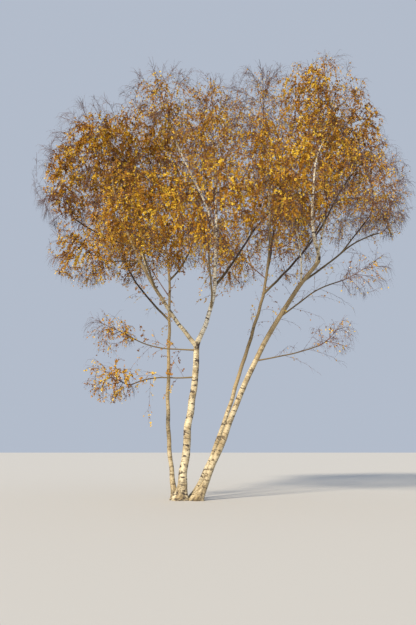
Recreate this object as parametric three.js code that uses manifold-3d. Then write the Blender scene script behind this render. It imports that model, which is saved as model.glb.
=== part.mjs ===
// A silver birch in late autumn: a clump of four stems from one foot, its boughs, and its masses of
// hanging twigs and leaves. Millimetres, +Z up, origin at the flat cut under the middle stem.
// Bearings are in degrees: 0 is +X, 90 is +Y. A rise is in degrees above level.
import * as THREE from "three";
import { mergeVertices } from "three/addons/utils/BufferGeometryUtils.js";
import Module from "manifold-3d";

const wasm = await Module();
wasm.setup();

// Driving dimensions
const clearance = 0.3;        // gap between two pieces that touch
const belowGround = 150;      // each stem is drawn this far down and then cut flat at ground level
const flare = {
  spread: 1.3,
  height: 230,
  ridges: 5,
  ridgeDepth: 0.12,
  ringHeights: [0, 90, 220, 420, 720],
};
const footCut = { deep: 700, wide: 1600, high: 900 };
const limbForm = { turnSteps: 24, marks: 120, centres: 60 };
const limbMargin = 35;        // least room between a twig or spray and the limbs
const stemForm = { sides: 10, step: 1100 };
const boughForm = { sides: 6, step: 760, fewestSteps: 3 };
const twigForm = { sides: 3, stemRoot: 46, branchRoot: 42, tip: 30, stemSteps: 4, longBranch: 1100 };

// A mass's stem runs past the centre of its space by a share of the way there, and rises by a share of the
// space's half height.
const massStemForm = { past: 0.35, rise: 0.25, pull: 0.1, bend: 0.35 };
const branching = {
  goldenAngle: 137.5,
  rootLean: 78,
  tipLean: 34,
  droop: 0.2,
  bend: 0.55,
  spacing: 900,
  bareFoot: 500,
  latestFirst: 0.3,
  last: 0.97,
  shortest: 250,
  roomForTip: [0.45, 0.7],
  seedsPerMass: 40,
};
const spray = {
  length: 1100,
  width: 540,
  thickness: 44,
  widestAt: 0.42,
  sunk: 2,
  gap: 420,
  firstOnBranch: 0.32,
  firstOnStem: 0.55,
  last: 0.985,
  sizes: [0.85, 1.1],
  turns: [30, 150],
  roomShare: 0.97,
  shortest: 0.42,
  fullSizeHalf: 1500,
  attempts: 5,
};
const hanging = { ahead: 0.35, aside: 0.5, down: [-1.3, -0.4], tipAside: [-0.2, 0.2], tipDown: -0.25 };

// Each stem leaves the ground at its foot and turns evenly from one heading to the next.
// A heading is [bearing, rise], and girth is the diameter at the root and at the tip.
const stems = [
  { name: "left_stem", foot: [-190, 280], length: 10850, girth: [165, 52],
    headings: [[165, 79], [90, 85], [96, 85], [160, 70]] },
  { name: "middle_stem", foot: [0, 0], length: 5370, girth: [290, 190],
    headings: [[0, 84], [0, 85], [0, 81], [250, 84]] },
  { name: "right_slim_stem", foot: [380, 240], length: 13350, girth: [170, 52],
    headings: [[5, 63], [5, 72], [20, 71], [60, 86], [190, 85]] },
  { name: "right_stem", foot: [535, -140], length: 9180, girth: [230, 125],
    headings: [[-5, 64.5], [-8, 69], [-14, 59.5], [-17, 48.5]] },
];

// A bough leaves the limb "from" at the share "along" of that limb's length.
const boughs = [
  { name: "middle_leader", from: "middle_stem", along: 1, length: 7000, girth: [165, 50],
    headings: [[-9, 60], [-55, 86], [-87, 84], [-162, 86]] },
  { name: "left_bough", from: "middle_stem", along: 0.97, length: 7300, girth: [140, 50],
    headings: [[-163, 48], [-157, 56], [-160, 68], [111, 75]] },
  { name: "left_rising_bough", from: "left_bough", along: 0.4, length: 3100, girth: [72, 44],
    headings: [[146, 73], [129, 65], [129, 81]] },
  { name: "left_level_bough", from: "left_bough", along: 0.47, length: 950, girth: [50, 40],
    headings: [[-178, 8], [-170, -10]] },
  { name: "left_reaching_bough", from: "left_bough", along: 0.55, length: 2200, girth: [60, 42],
    headings: [[-167, 13], [-159, 18], [-164, 37]] },
  { name: "front_left_bough", from: "left_bough", along: 0.33, length: 2500, girth: [70, 44],
    headings: [[-100, 24], [-102, 30], [-110, 46]] },
  { name: "pale_leader", from: "middle_leader", along: 0.52, length: 4300, girth: [90, 50],
    headings: [[-128, 80], [-147, 61], [-172, 63], [170, 74]] },
  { name: "inner_front_bough", from: "pale_leader", along: 0.31, length: 1250, girth: [58, 42],
    headings: [[-73, 67], [-110, 50]] },
  { name: "front_middle_bough", from: "middle_leader", along: 0.19, length: 2800, girth: [72, 44],
    headings: [[-85, 18], [-95, 25], [-93, 42]] },
  { name: "dark_bough", from: "middle_leader", along: 0.3, length: 4760, girth: [95, 46],
    headings: [[36, 49], [42, 55], [33, 44]] },
  { name: "dark_side_bough", from: "dark_bough", along: 0.6, length: 1600, girth: [60, 42],
    headings: [[-50, 66], [-80, 68], [-60, 74]] },
  { name: "low_left_upper_bough", from: "middle_stem", along: 0.945, length: 2200, girth: [52, 36],
    headings: [[-157, -2], [-160, 1], [-157, 25]] },
  { name: "low_left_lower_bough", from: "middle_stem", along: 0.775, length: 2300, girth: [50, 36],
    headings: [[-146, -8], [-154, -1], [-149, -26]] },
  { name: "back_left_bough", from: "left_stem", along: 0.58, length: 4500, girth: [80, 44],
    headings: [[140, 40], [135, 45], [120, 62]] },
  { name: "back_middle_bough", from: "left_stem", along: 0.72, length: 3700, girth: [74, 44],
    headings: [[50, 42], [65, 55], [80, 65]] },
  { name: "long_right_bough", from: "right_slim_stem", along: 0.575, length: 6200, girth: [88, 44],
    headings: [[0, 43], [-9, 49], [-7, 64], [-15, 46]] },
  { name: "outer_back_bough", from: "long_right_bough", along: 0.36, length: 2700, girth: [60, 42],
    headings: [[70, 38], [50, 45], [40, 60]] },
  { name: "back_right_bough", from: "right_slim_stem", along: 0.65, length: 3900, girth: [76, 44],
    headings: [[75, 36], [80, 48], [60, 62]] },
  { name: "right_leader", from: "right_stem", along: 1, length: 5150, girth: [112, 48],
    headings: [[-174, 70], [38, 83], [53, 77], [10, 53]] },
  { name: "right_front_bough", from: "right_stem", along: 0.965, length: 1650, girth: [76, 44],
    headings: [[-60, 66], [-80, 50], [-85, 42]] },
  { name: "right_reaching_bough", from: "right_stem", along: 0.89, length: 3290, girth: [72, 42],
    headings: [[2, 33], [1, 41], [14, 17]] },
  { name: "right_outer_bough", from: "right_reaching_bough", along: 0.52, length: 1500, girth: [52, 40],
    headings: [[-55, 36], [-60, 30]] },
  { name: "upright_bough", from: "right_stem", along: 0.875, length: 2250, girth: [56, 40],
    headings: [[-81, 66], [-109, 58], [-117, 62]] },
  { name: "low_right_bough", from: "right_stem", along: 0.73, length: 2250, girth: [54, 38],
    headings: [[-22, 31], [-23, 34], [-26, 8]] },
  { name: "lowest_right_bough", from: "right_stem", along: 0.55, length: 2150, girth: [48, 36],
    headings: [[-19, 7], [-19, 9], [-20, 17]] },
];

// These boughs are white like the stems. The others are brown.
const paleBoughs = [
  "middle_leader", "left_bough", "left_rising_bough", "pale_leader", "right_leader", "right_front_bough",
  "upright_bough",
];

// A mass keeps to an egg-shaped space: its centre, and its half-axes along X, Y and Z.
// It grows from the tip of a bough, or from the side of a stem at the share "along".
const masses = [
  { name: "leaves_left_dome", from: "left_bough",
    centre: [-3150, -600, 12150], half: [1550, 1650, 1750] },
  { name: "leaves_left_rising", from: "left_rising_bough",
    centre: [-2100, 500, 12250], half: [1550, 1500, 1750] },
  { name: "leaves_left_outer", from: "left_reaching_bough",
    centre: [-3850, -1200, 10500], half: [1300, 1500, 1600] },
  { name: "leaves_left_low", from: "left_level_bough",
    centre: [-3100, -1500, 7900], half: [1250, 1200, 1150] },
  { name: "leaves_left_front", from: "front_left_bough",
    centre: [-1350, -3200, 8900], half: [1500, 1500, 1600] },
  { name: "leaves_pale_top", from: "pale_leader",
    centre: [-750, -900, 13550], half: [1500, 1500, 1650] },
  { name: "leaves_inner_front", from: "inner_front_bough",
    centre: [700, -2400, 11100], half: [1450, 1450, 1600] },
  { name: "leaves_middle_top", from: "middle_leader",
    centre: [1050, -400, 13450], half: [1400, 1500, 1750] },
  { name: "leaves_front_middle", from: "front_middle_bough",
    centre: [1100, -3700, 8600], half: [1450, 1400, 1550] },
  { name: "leaves_dark_bough", from: "dark_bough",
    centre: [4550, 2200, 12300], half: [1700, 1500, 1850] },
  { name: "leaves_dark_side", from: "dark_side_bough",
    centre: [2750, -1000, 11750], half: [1300, 1400, 1650] },
  { name: "leaves_low_left_upper", from: "low_left_upper_bough",
    centre: [-2300, -1050, 5350], half: [950, 850, 750] },
  { name: "leaves_low_left_lower", from: "low_left_lower_bough",
    centre: [-2100, -1350, 3800], half: [1050, 850, 750] },
  { name: "leaves_left_stem_top", from: "left_stem",
    centre: [-1000, 1800, 12500], half: [1650, 1600, 1900] },
  { name: "leaves_heart", from: "left_stem", along: 0.78,
    centre: [-200, -400, 9100], half: [1200, 1300, 1450] },
  { name: "leaves_left_back", from: "left_stem", along: 0.66,
    centre: [-1950, 1700, 9200], half: [1450, 1300, 1500] },
  { name: "leaves_back_left", from: "back_left_bough",
    centre: [-2900, 3100, 11300], half: [1950, 1600, 1900] },
  { name: "leaves_back_middle", from: "back_middle_bough",
    centre: [550, 3500, 12200], half: [1850, 1500, 1900] },
  { name: "leaves_slim_top", from: "right_slim_stem",
    centre: [3050, 800, 14500], half: [1550, 1600, 1800] },
  { name: "leaves_hanging", from: "right_slim_stem", along: 0.7,
    centre: [3850, -300, 8500], half: [900, 950, 1350] },
  { name: "leaves_back_low", from: "right_slim_stem", along: 0.62,
    centre: [1750, 2500, 9300], half: [1600, 1300, 1500] },
  { name: "leaves_back_right", from: "back_right_bough",
    centre: [3900, 3800, 11500], half: [1900, 1400, 1800] },
  { name: "leaves_right_shoulder", from: "long_right_bough",
    centre: [6200, 300, 12800], half: [1250, 1500, 1750] },
  { name: "leaves_outer_back", from: "outer_back_bough",
    centre: [6250, 2500, 11400], half: [1500, 1400, 1750] },
  { name: "leaves_right_top", from: "right_leader",
    centre: [5050, -400, 14100], half: [1700, 1600, 1750] },
  { name: "leaves_right_front", from: "right_front_bough",
    centre: [4250, -3000, 10400], half: [1450, 1500, 1700] },
  { name: "leaves_right_outer", from: "right_reaching_bough",
    centre: [6950, -400, 10600], half: [1150, 1400, 1800] },
  { name: "leaves_outer_front", from: "right_outer_bough",
    centre: [5900, -2500, 9900], half: [1300, 1400, 1550] },
  { name: "leaves_upright", from: "upright_bough",
    centre: [2900, -3050, 9300], half: [1400, 1400, 1550] },
  { name: "leaves_low_right", from: "low_right_bough",
    centre: [5900, -1750, 7150], half: [950, 900, 850] },
  { name: "leaves_lowest_right", from: "lowest_right_bough",
    centre: [4950, -1350, 5200], half: [850, 750, 700] },
];

const colours = {
  paleBark: 0xd9cfbb,
  darkBark: 0x8a7462,
  leaves: [0xb9771f, 0xc88a2a, 0xa9681f, 0xd09a38],   // amber, gold, russet and yellow, dealt out in turn
};

const up = new THREE.Vector3(0, 0, 1);
const point = (x, y, z) => new THREE.Vector3(x, y, z);
const radians = THREE.MathUtils.degToRad;
const mix = THREE.MathUtils.lerp;

function directionOf([bearing, rise]) {
  const level = Math.cos(radians(rise));
  return point(level * Math.cos(radians(bearing)), level * Math.sin(radians(bearing)), Math.sin(radians(rise)));
}

// The same numbers from 0 to 1 each time, for one seed.
function numbersFrom(seed) {
  const range = 2 ** 32;
  let state = seed * 7919 + 17;
  return () => {
    state = (state * 1664525 + 1013904223) % range;
    return state / range;
  };
}

// A limb's centre line: it starts at root and turns evenly through its headings.
function centreLine(root, headings, length) {
  const steps = limbForm.turnSteps;
  const directions = headings.map(directionOf);
  const points = [root.clone()];
  for (let i = 0; i < steps; i++) {
    const turn = ((i + 0.5) / steps) * (directions.length - 1);
    const from = Math.min(Math.floor(turn), directions.length - 2);
    const heading = directions[from].clone().lerp(directions[from + 1], turn - from).normalize();
    points.push(points[i].clone().addScaledVector(heading, length / steps));
  }
  return new THREE.CatmullRomCurve3(points);
}

function solidFrom(positions, triangles) {
  const mesh = new wasm.Mesh({
    numProp: 3,
    vertProperties: new Float32Array(positions),
    triVerts: new Uint32Array(triangles),
  });
  return new wasm.Manifold(mesh);
}

// A closed tube along a curve that is marked off in equal steps, with a ring at each of the marks given.
// radiusAt gives the radius for a share of the length, an angle and a place, and beyond is how far the last
// ring is pushed past the curve's end.
function tube(curve, steps, marks, sides, radiusAt, beyond = 0) {
  const frames = curve.computeFrenetFrames(steps, false);
  const positions = [];
  const triangles = [];
  for (const mark of marks) {
    const middle = curve.getPointAt(mark / steps);
    if (mark === steps) middle.addScaledVector(frames.tangents[mark], beyond);
    for (let j = 0; j < sides; j++) {
      const angle = (2 * Math.PI * j) / sides;
      const radius = radiusAt(mark / steps, angle, middle);
      const corner = middle.clone()
        .addScaledVector(frames.normals[mark], radius * Math.cos(angle))
        .addScaledVector(frames.binormals[mark], radius * Math.sin(angle));
      positions.push(...corner.toArray());
    }
  }
  for (let i = 0; i < marks.length - 1; i++) {
    for (let j = 0; j < sides; j++) {
      const here = i * sides + j;
      const next = i * sides + ((j + 1) % sides);
      triangles.push(here, next, next + sides, here, next + sides, here + sides);
    }
  }
  const last = (marks.length - 1) * sides;
  for (let j = 1; j < sides - 1; j++) {
    triangles.push(0, j + 1, j, last, last + j, last + j + 1);
  }
  return solidFrom(positions, triangles);
}

// The root flare widens a stem near the ground, with low ridges round it.
function flaredRadius(girth, grown) {
  return (share, angle, middle) => {
    const nearGround = Math.exp(-Math.max(middle.z, 0) / flare.height);
    const ridge = 1 + flare.ridgeDepth * Math.cos(flare.ridges * angle) * nearGround;
    return (mix(girth[0], girth[1], share) / 2) * (1 + flare.spread * nearGround) * ridge + grown;
  };
}

function plainRadius(girth, grown) {
  return (share) => mix(girth[0], girth[1], share) / 2 + grown;
}

function largestPiece(solid) {
  const pieces = solid.decompose();
  return pieces.reduce((best, piece) => (piece.volume() > best.volume() ? piece : best));
}

// Marks for count + 1 rings, evenly from the mark first to the mark steps.
function evenMarks(count, steps, first = 0) {
  return Array.from({ length: count + 1 }, (_, i) => Math.round(mix(first, steps, i / count)));
}

const limbs = new Map();

// Keeps a limb's curve, its solid, and a solid one clearance larger that cuts what grows from it.
function keepLimb(limb, curve, form, marks, radiusFor) {
  const grown = clearance / Math.cos(Math.PI / form.sides);
  limb.curve = curve;
  limb.solid = tube(curve, limbForm.marks, marks, form.sides, radiusFor(limb.girth, 0));
  limb.cutter = tube(curve, limbForm.marks, marks, form.sides, radiusFor(limb.girth, grown), clearance);
  limb.centres = curve.getSpacedPoints(limbForm.centres);
  limbs.set(limb.name, limb);
}

// Two feet side by side meet face to face on an upright plane between them, nearer to the slimmer foot.
function partFeet() {
  for (const stem of stems) {
    stem.solid = stem.solid.trimByPlane([0, 0, 1], 0);
    for (const other of stems) {
      if (other === stem) continue;
      const foot = point(...stem.foot, 0);
      const otherFoot = point(...other.foot, 0);
      const meeting = foot.clone().lerp(otherFoot, stem.girth[0] / (stem.girth[0] + other.girth[0]));
      const block = footBlock(meeting, otherFoot.sub(foot).normalize());
      stem.solid = largestPiece(stem.solid.subtract(block));
    }
  }
}

// A block that fills the other foot's side of the plane where two feet meet, as high as their flares.
function footBlock(meeting, across) {
  const box = new THREE.BoxGeometry(footCut.deep, footCut.wide, footCut.high);
  const place = meeting.clone().addScaledVector(across, (footCut.deep - clearance) / 2);
  box.rotateZ(Math.atan2(across.y, across.x));
  box.translate(place.x, place.y, 0);
  return solidOf(box);
}

function solidOf(geometry) {
  const bare = geometry.index ? geometry.toNonIndexed() : geometry;
  bare.deleteAttribute("normal");
  bare.deleteAttribute("uv");
  const merged = mergeVertices(bare, 1e-3);
  return solidFrom(merged.attributes.position.array, merged.index.array);
}

function growStems() {
  for (const stem of stems) {
    const heading = directionOf(stem.headings[0]);
    const root = point(...stem.foot, 0).addScaledVector(heading, -belowGround / heading.z);
    const flareMarks = flare.ringHeights.map((height) =>
      Math.round((limbForm.marks * (belowGround + height)) / heading.z / stem.length),
    );
    const above = flareMarks[flareMarks.length - 1] + 1;
    const count = Math.round(stem.length / stemForm.step);
    const marks = [0, ...flareMarks, ...evenMarks(count, limbForm.marks, above).slice(1)];
    keepLimb(stem, centreLine(root, stem.headings, stem.length), stemForm, marks, flaredRadius);
  }
  partFeet();
}

function growBoughs() {
  for (const bough of boughs) {
    const parent = limbs.get(bough.from);
    const root = parent.curve.getPointAt(bough.along);
    if (bough.along === 1) root.addScaledVector(parent.curve.getTangentAt(1), -bough.girth[0] / 2);
    const cutters = [...limbs.values()].map((limb) => limb.cutter);
    const count = Math.max(boughForm.fewestSteps, Math.round(bough.length / boughForm.step));
    const curve = centreLine(root, bough.headings, bough.length);
    keepLimb(bough, curve, boughForm, evenMarks(count, limbForm.marks), plainRadius);
    bough.solid = largestPiece(bough.solid.subtract(wasm.Manifold.union(cutters)));
  }
}

// The space of a mass: its egg, cut by the plane that parts it from each neighbour's egg.
function spaceOf(mass) {
  const centre = point(...mass.centre);
  const half = point(...mass.half);
  const planes = [];
  for (const other of masses) {
    if (other === mass) continue;
    const across = point(...other.centre).sub(centre);
    const distance = across.length();
    const outward = across.clone().divideScalar(distance);
    const own = reachOf(half, outward);
    const theirs = reachOf(point(...other.half), outward);
    if (own + theirs < distance) continue;
    planes.push({ outward, limit: (distance * own) / (own + theirs) - clearance });
  }
  const meanHalf = (half.x + half.y + half.z) / 3;
  return { centre, half, planes, sprayLength: spray.length * Math.min(1, meanHalf / spray.fullSizeHalf) };
}

// How far an egg's surface lies from its centre in one direction.
function reachOf(half, direction) {
  return 1 / direction.clone().divide(half).length();
}

function isInside(space, place) {
  const from = place.clone().sub(space.centre);
  if (from.clone().divide(space.half).lengthSq() > 1) return false;
  return space.planes.every((plane) => from.dot(plane.outward) < plane.limit);
}

// How far a straight line can run from a place before it leaves the space.
function roomAlong(space, place, direction) {
  const from = place.clone().sub(space.centre).divide(space.half);
  const ahead = direction.clone().divide(space.half);
  const a = ahead.lengthSq();
  const b = from.dot(ahead);
  const c = from.lengthSq() - 1;
  let room = (-b + Math.sqrt(Math.max(b * b - a * c, 0))) / a;
  for (const plane of space.planes) {
    const speed = direction.dot(plane.outward);
    if (speed <= 0) continue;
    const gap = plane.limit - place.clone().sub(space.centre).dot(plane.outward);
    room = Math.min(room, gap / speed);
  }
  return Math.max(room, 0);
}

function isClearOfLimbs(places) {
  for (const limb of limbs.values()) {
    for (let i = 0; i < limb.centres.length; i++) {
      const radius = mix(limb.girth[0], limb.girth[1], i / (limb.centres.length - 1)) / 2;
      const least = (radius + limbMargin) ** 2;
      if (places.some((place) => place.distanceToSquared(limb.centres[i]) < least)) return false;
    }
  }
  return true;
}

// A spray of leaves: a flat blade of eight faces, pointed at its root and tip and widest between them.
function sprayAt(root, heading, turn, length, space) {
  const along = heading.clone().normalize();
  const wide = up.clone().cross(along);
  if (wide.lengthSq() < 0.01) wide.set(1, 0, 0);
  wide.normalize().applyAxisAngle(along, turn);
  const thick = along.clone().cross(wide);
  const size = length / spray.length;
  const halfWidth = (spray.width / 2) * size;
  const halfThickness = (spray.thickness / 2) * size;
  const start = root.clone().addScaledVector(along, -spray.sunk);
  const end = start.clone().addScaledVector(along, length);
  const middle = start.clone().addScaledVector(along, spray.widestAt * length);
  const corners = [
    start,
    end,
    middle.clone().addScaledVector(wide, halfWidth),
    middle.clone().addScaledVector(wide, -halfWidth),
    middle.clone().addScaledVector(thick, halfThickness),
    middle.clone().addScaledVector(thick, -halfThickness),
  ];
  if (!corners.every((corner) => isInside(space, corner))) return null;
  const between = [middle, middle.clone().lerp(end, 0.5), middle.clone().lerp(start, 0.5)];
  if (!isClearOfLimbs([...corners.slice(1), ...between])) return null;
  const ring = [2, 4, 3, 5];
  const triangles = ring.flatMap((corner, i) => {
    const next = ring[(i + 1) % ring.length];
    return [0, next, corner, 1, corner, next];
  });
  return solidFrom(corners.flatMap((corner) => corner.toArray()), triangles);
}

// True where a new piece crosses none of the pieces that a mass has so far, apart from the one it grows on.
function isClearOfPieces(made, pieces, own) {
  return pieces.every((piece) => piece === own || made.intersect(piece).isEmpty());
}

function twig(curve, steps, rootGirth, tipGirth) {
  const radiusAt = (share) => mix(rootGirth, tipGirth, share) / 2;
  return tube(curve, steps, evenMarks(steps, steps), twigForm.sides, radiusAt);
}

// The stem of a mass leaves its bough's tip, or the side of a stem, and bends towards the space's far side.
function massStem(mass, parent, space) {
  const fromTip = mass.along === undefined;
  const along = fromTip ? 1 : mass.along;
  const root = parent.curve.getPointAt(along);
  const tangent = parent.curve.getTangentAt(along);
  if (fromTip) root.addScaledVector(tangent, -twigForm.tip);
  const across = space.centre.clone().sub(root);
  const first = fromTip ? tangent : across.clone().normalize();
  const end = space.centre.clone()
    .addScaledVector(across, massStemForm.past)
    .addScaledVector(up, massStemForm.rise * space.half.z);
  while (!isInside(space, end)) end.lerp(space.centre, massStemForm.pull);
  const bend = root.clone().addScaledVector(first, massStemForm.bend * end.distanceTo(root));
  return new THREE.QuadraticBezierCurve3(root, bend, end);
}

// A branch of a mass: it leaves the stem at the golden angle from the one before, and droops towards its tip.
function massBranch(stemCurve, share, turn, space, random) {
  const base = stemCurve.getPointAt(share);
  const axis = stemCurve.getTangentAt(share);
  const side = point(1, 0, 0).cross(axis).normalize().applyAxisAngle(axis, turn);
  const lean = radians(mix(branching.rootLean, branching.tipLean, share));
  const heading = axis.clone().multiplyScalar(Math.cos(lean)).addScaledVector(side, Math.sin(lean)).normalize();
  const room = isInside(space, base) ? roomAlong(space, base, heading) : 0;
  const reach = room - mix(...branching.roomForTip, random()) * space.sprayLength;
  if (reach < branching.shortest) return null;
  const tip = base.clone().addScaledVector(heading, reach).addScaledVector(up, -branching.droop * reach);
  const bend = base.clone().addScaledVector(heading, branching.bend * reach);
  const curve = new THREE.QuadraticBezierCurve3(base, bend, tip);
  if (!curve.getSpacedPoints(6).every((place) => isInside(space, place))) return null;
  if (!isClearOfLimbs(curve.getSpacedPoints(10))) return null;
  return curve;
}

// Which way a spray hangs: to its branch's left or right and down, or straight on where it ends the branch.
function hangOf(ahead, atTip, leftOrRight, random) {
  const aside = ahead.clone().cross(up).normalize().multiplyScalar(leftOrRight);
  const hang = ahead.clone();
  if (atTip) {
    hang.addScaledVector(aside, mix(...hanging.tipAside, random())).addScaledVector(up, hanging.tipDown);
  } else {
    hang.multiplyScalar(hanging.ahead).addScaledVector(aside, hanging.aside);
    hang.addScaledVector(up, mix(...hanging.down, random()));
  }
  return hang.normalize();
}

// The sprays along one branch: they hang to its left and right in turn, and the last one ends it.
function branchSprays(curve, firstShare, own, pieces, space, random) {
  const count = Math.max(2, Math.round((curve.getLength() * (1 - firstShare)) / spray.gap) + 1);
  const sprays = [];
  for (let j = 0; j < count; j++) {
    const share = mix(firstShare, spray.last, j / (count - 1));
    const root = curve.getPointAt(share);
    const ahead = curve.getTangentAt(share);
    for (let attempt = 0; attempt < spray.attempts; attempt++) {
      const hang = hangOf(ahead, j === count - 1, (j + attempt) % 2 ? 1 : -1, random);
      const turn = radians(mix(...spray.turns, random()));
      const wanted = space.sprayLength * mix(...spray.sizes, random());
      const length = Math.min(wanted, spray.roomShare * roomAlong(space, root, hang) + spray.sunk);
      if (length < spray.shortest * space.sprayLength) continue;
      const made = sprayAt(root, hang, turn, length, space);
      if (!made || !isClearOfPieces(made, [...pieces, ...sprays], own)) continue;
      sprays.push(made);
      break;
    }
  }
  return sprays;
}

// A mass: one stem from its bough, branches round it by the golden angle, and sprays along them.
// Each branch has a seed of its own, and so has the stem's own row of sprays.
function growMass(mass, number) {
  const parent = limbs.get(mass.from);
  const space = spaceOf(mass);
  const stemCurve = massStem(mass, parent, space);
  const stem = twig(stemCurve, twigForm.stemSteps, twigForm.stemRoot, twigForm.tip);
  const pieces = [stem];
  const count = Math.round((space.half.x + space.half.y + space.half.z) / branching.spacing);
  const firstShare = Math.min(branching.latestFirst, branching.bareFoot / stemCurve.getLength());
  const firstSeed = number * branching.seedsPerMass + 1;
  for (let i = 0; i < count; i++) {
    const random = numbersFrom(firstSeed + i);
    const share = mix(firstShare, branching.last, i / (count - 1));
    const turn = radians(branching.goldenAngle * (i + number));
    const curve = massBranch(stemCurve, share, turn, space, random);
    if (!curve) continue;
    const steps = curve.getLength() > twigForm.longBranch ? 2 : 1;
    const branch = twig(curve, steps, twigForm.branchRoot, twigForm.tip);
    if (!isClearOfPieces(branch, pieces, stem)) continue;
    pieces.push(branch, ...branchSprays(curve, spray.firstOnBranch, branch, pieces, space, random));
  }
  const random = numbersFrom(firstSeed + count);
  pieces.push(...branchSprays(stemCurve, spray.firstOnStem, stem, pieces, space, random));
  return largestPiece(wasm.Manifold.union(pieces).subtract(parent.cutter));
}

function surface(colour, roughness) {
  return new THREE.MeshStandardMaterial({ color: colour, roughness, metalness: 0, flatShading: true });
}

// A named mesh whose own origin is at the piece's root.
function meshOf(name, solid, root, material) {
  const shape = solid.getMesh();
  const positions = new Float32Array(shape.numVert * 3);
  for (let i = 0; i < shape.numVert; i++) {
    positions.set(shape.vertProperties.subarray(i * shape.numProp, i * shape.numProp + 3), i * 3);
  }
  const geometry = new THREE.BufferGeometry();
  geometry.setAttribute("position", new THREE.BufferAttribute(positions, 3));
  geometry.setIndex(new THREE.BufferAttribute(new Uint32Array(shape.triVerts), 1));
  geometry.translate(-root.x, -root.y, -root.z);
  geometry.computeVertexNormals();
  const mesh = new THREE.Mesh(geometry, material);
  mesh.name = name;
  mesh.position.copy(root);
  return mesh;
}

const tree = new THREE.Group();
const wood = new THREE.Group();
const foliage = new THREE.Group();
tree.add(wood, foliage);

growStems();
growBoughs();
for (const stem of stems) {
  wood.add(meshOf(stem.name, stem.solid, point(...stem.foot, 0), surface(colours.paleBark, 0.75)));
}
for (const bough of boughs) {
  const isPale = paleBoughs.includes(bough.name);
  const material = isPale ? surface(colours.paleBark, 0.75) : surface(colours.darkBark, 0.85);
  wood.add(meshOf(bough.name, bough.solid, bough.curve.getPointAt(0).round(), material));
}
masses.forEach((mass, i) => {
  const material = surface(colours.leaves[i % colours.leaves.length], 0.9);
  foliage.add(meshOf(mass.name, growMass(mass, i), point(...mass.centre), material));
});

export default tree;
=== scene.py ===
import math

import bpy
import numpy as np
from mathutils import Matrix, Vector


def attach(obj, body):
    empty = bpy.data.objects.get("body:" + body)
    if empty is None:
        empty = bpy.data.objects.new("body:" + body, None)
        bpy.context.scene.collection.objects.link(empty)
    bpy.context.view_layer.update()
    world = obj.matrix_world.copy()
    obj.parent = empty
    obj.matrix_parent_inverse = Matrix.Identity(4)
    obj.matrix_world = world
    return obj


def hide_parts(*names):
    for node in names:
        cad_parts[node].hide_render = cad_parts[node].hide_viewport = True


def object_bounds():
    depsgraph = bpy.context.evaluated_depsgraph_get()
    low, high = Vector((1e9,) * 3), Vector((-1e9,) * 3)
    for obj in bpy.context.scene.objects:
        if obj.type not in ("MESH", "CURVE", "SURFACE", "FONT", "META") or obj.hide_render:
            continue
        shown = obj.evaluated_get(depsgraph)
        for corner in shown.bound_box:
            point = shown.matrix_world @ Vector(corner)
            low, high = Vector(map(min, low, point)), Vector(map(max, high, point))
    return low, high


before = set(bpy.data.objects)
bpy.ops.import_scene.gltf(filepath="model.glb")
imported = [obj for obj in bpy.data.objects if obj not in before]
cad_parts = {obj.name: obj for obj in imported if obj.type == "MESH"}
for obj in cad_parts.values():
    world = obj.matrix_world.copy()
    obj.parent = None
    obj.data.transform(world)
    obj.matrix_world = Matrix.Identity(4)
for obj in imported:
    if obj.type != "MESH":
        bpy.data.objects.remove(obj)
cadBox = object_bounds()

# A silver birch in late autumn. Metres, +Z up, origin at the flat cut under the middle stem.
# Bearings are in degrees: 0 is +X, 90 is +Y. A rise is in degrees above level.
print("frame loaded with", len(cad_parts), "nodes")

seeds = {"bark": 500, "masses": 9000, "limbTwigs": 7000, "patches": 5, "leaves": 77}

cameraSettings = {
    "place": (0.88, -20.5, 1.6),     # at eye height in front of the tree
    "pitch": 12.7,                   # degrees above level
    "lens": 35.0,
    "sensor": 36.0,
    "farthest": 1000.0,
}


def makeCamera(settings):
    data = bpy.data.cameras.new("viewCamera")
    data.lens = settings["lens"]
    data.sensor_width = settings["sensor"]
    data.clip_end = settings["farthest"]
    camera = bpy.data.objects.new("viewCamera", data)
    camera.location = settings["place"]
    camera.rotation_euler = (math.radians(90.0 + settings["pitch"]), 0.0, 0.0)
    bpy.context.scene.collection.objects.link(camera)
    bpy.context.scene.camera = camera


stageSettings = {
    "floorSize": 600.0,
    "floorColour": (0.60, 0.59, 0.57, 1.0),
    "floorRoughness": 0.9,
    "skyColour": (0.66, 0.74, 0.88, 1.0),
    "skyStrength": 0.68,
    "sunColour": (1.0, 0.87, 0.66),
    "sunStrength": 4.4,
    "sunBearing": -124.0,            # where the light comes from: the front, and somewhat from the left
    "sunRise": 30.0,
    "sunSoftness": 8.0,              # degrees across, for soft shadows
    "viewTransform": "Standard",
}


def directionOf(bearing, rise):
    bearing, rise = math.radians(bearing), math.radians(rise)
    level = math.cos(rise)
    return np.array([level * math.cos(bearing), level * math.sin(bearing), math.sin(rise)])


def makeFloor(settings):
    half = settings["floorSize"] / 2
    corners = [(-half, -half, 0), (half, -half, 0), (half, half, 0), (-half, half, 0)]
    mesh = bpy.data.meshes.new("floor")
    mesh.from_pydata(corners, [], [(0, 1, 2, 3)])
    floor = bpy.data.objects.new("floor", mesh)
    bpy.context.scene.collection.objects.link(floor)
    material = bpy.data.materials.new("floorPaint")
    material.use_nodes = True
    shader = material.node_tree.nodes["Principled BSDF"]
    shader.inputs["Base Color"].default_value = settings["floorColour"]
    shader.inputs["Roughness"].default_value = settings["floorRoughness"]
    mesh.materials.append(material)


def makeSky(settings):
    world = bpy.data.worlds.new("studio")
    world.use_nodes = True
    background = world.node_tree.nodes["Background"]
    background.inputs["Color"].default_value = settings["skyColour"]
    background.inputs["Strength"].default_value = settings["skyStrength"]
    bpy.context.scene.world = world
    bpy.context.scene.view_settings.view_transform = settings["viewTransform"]


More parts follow.
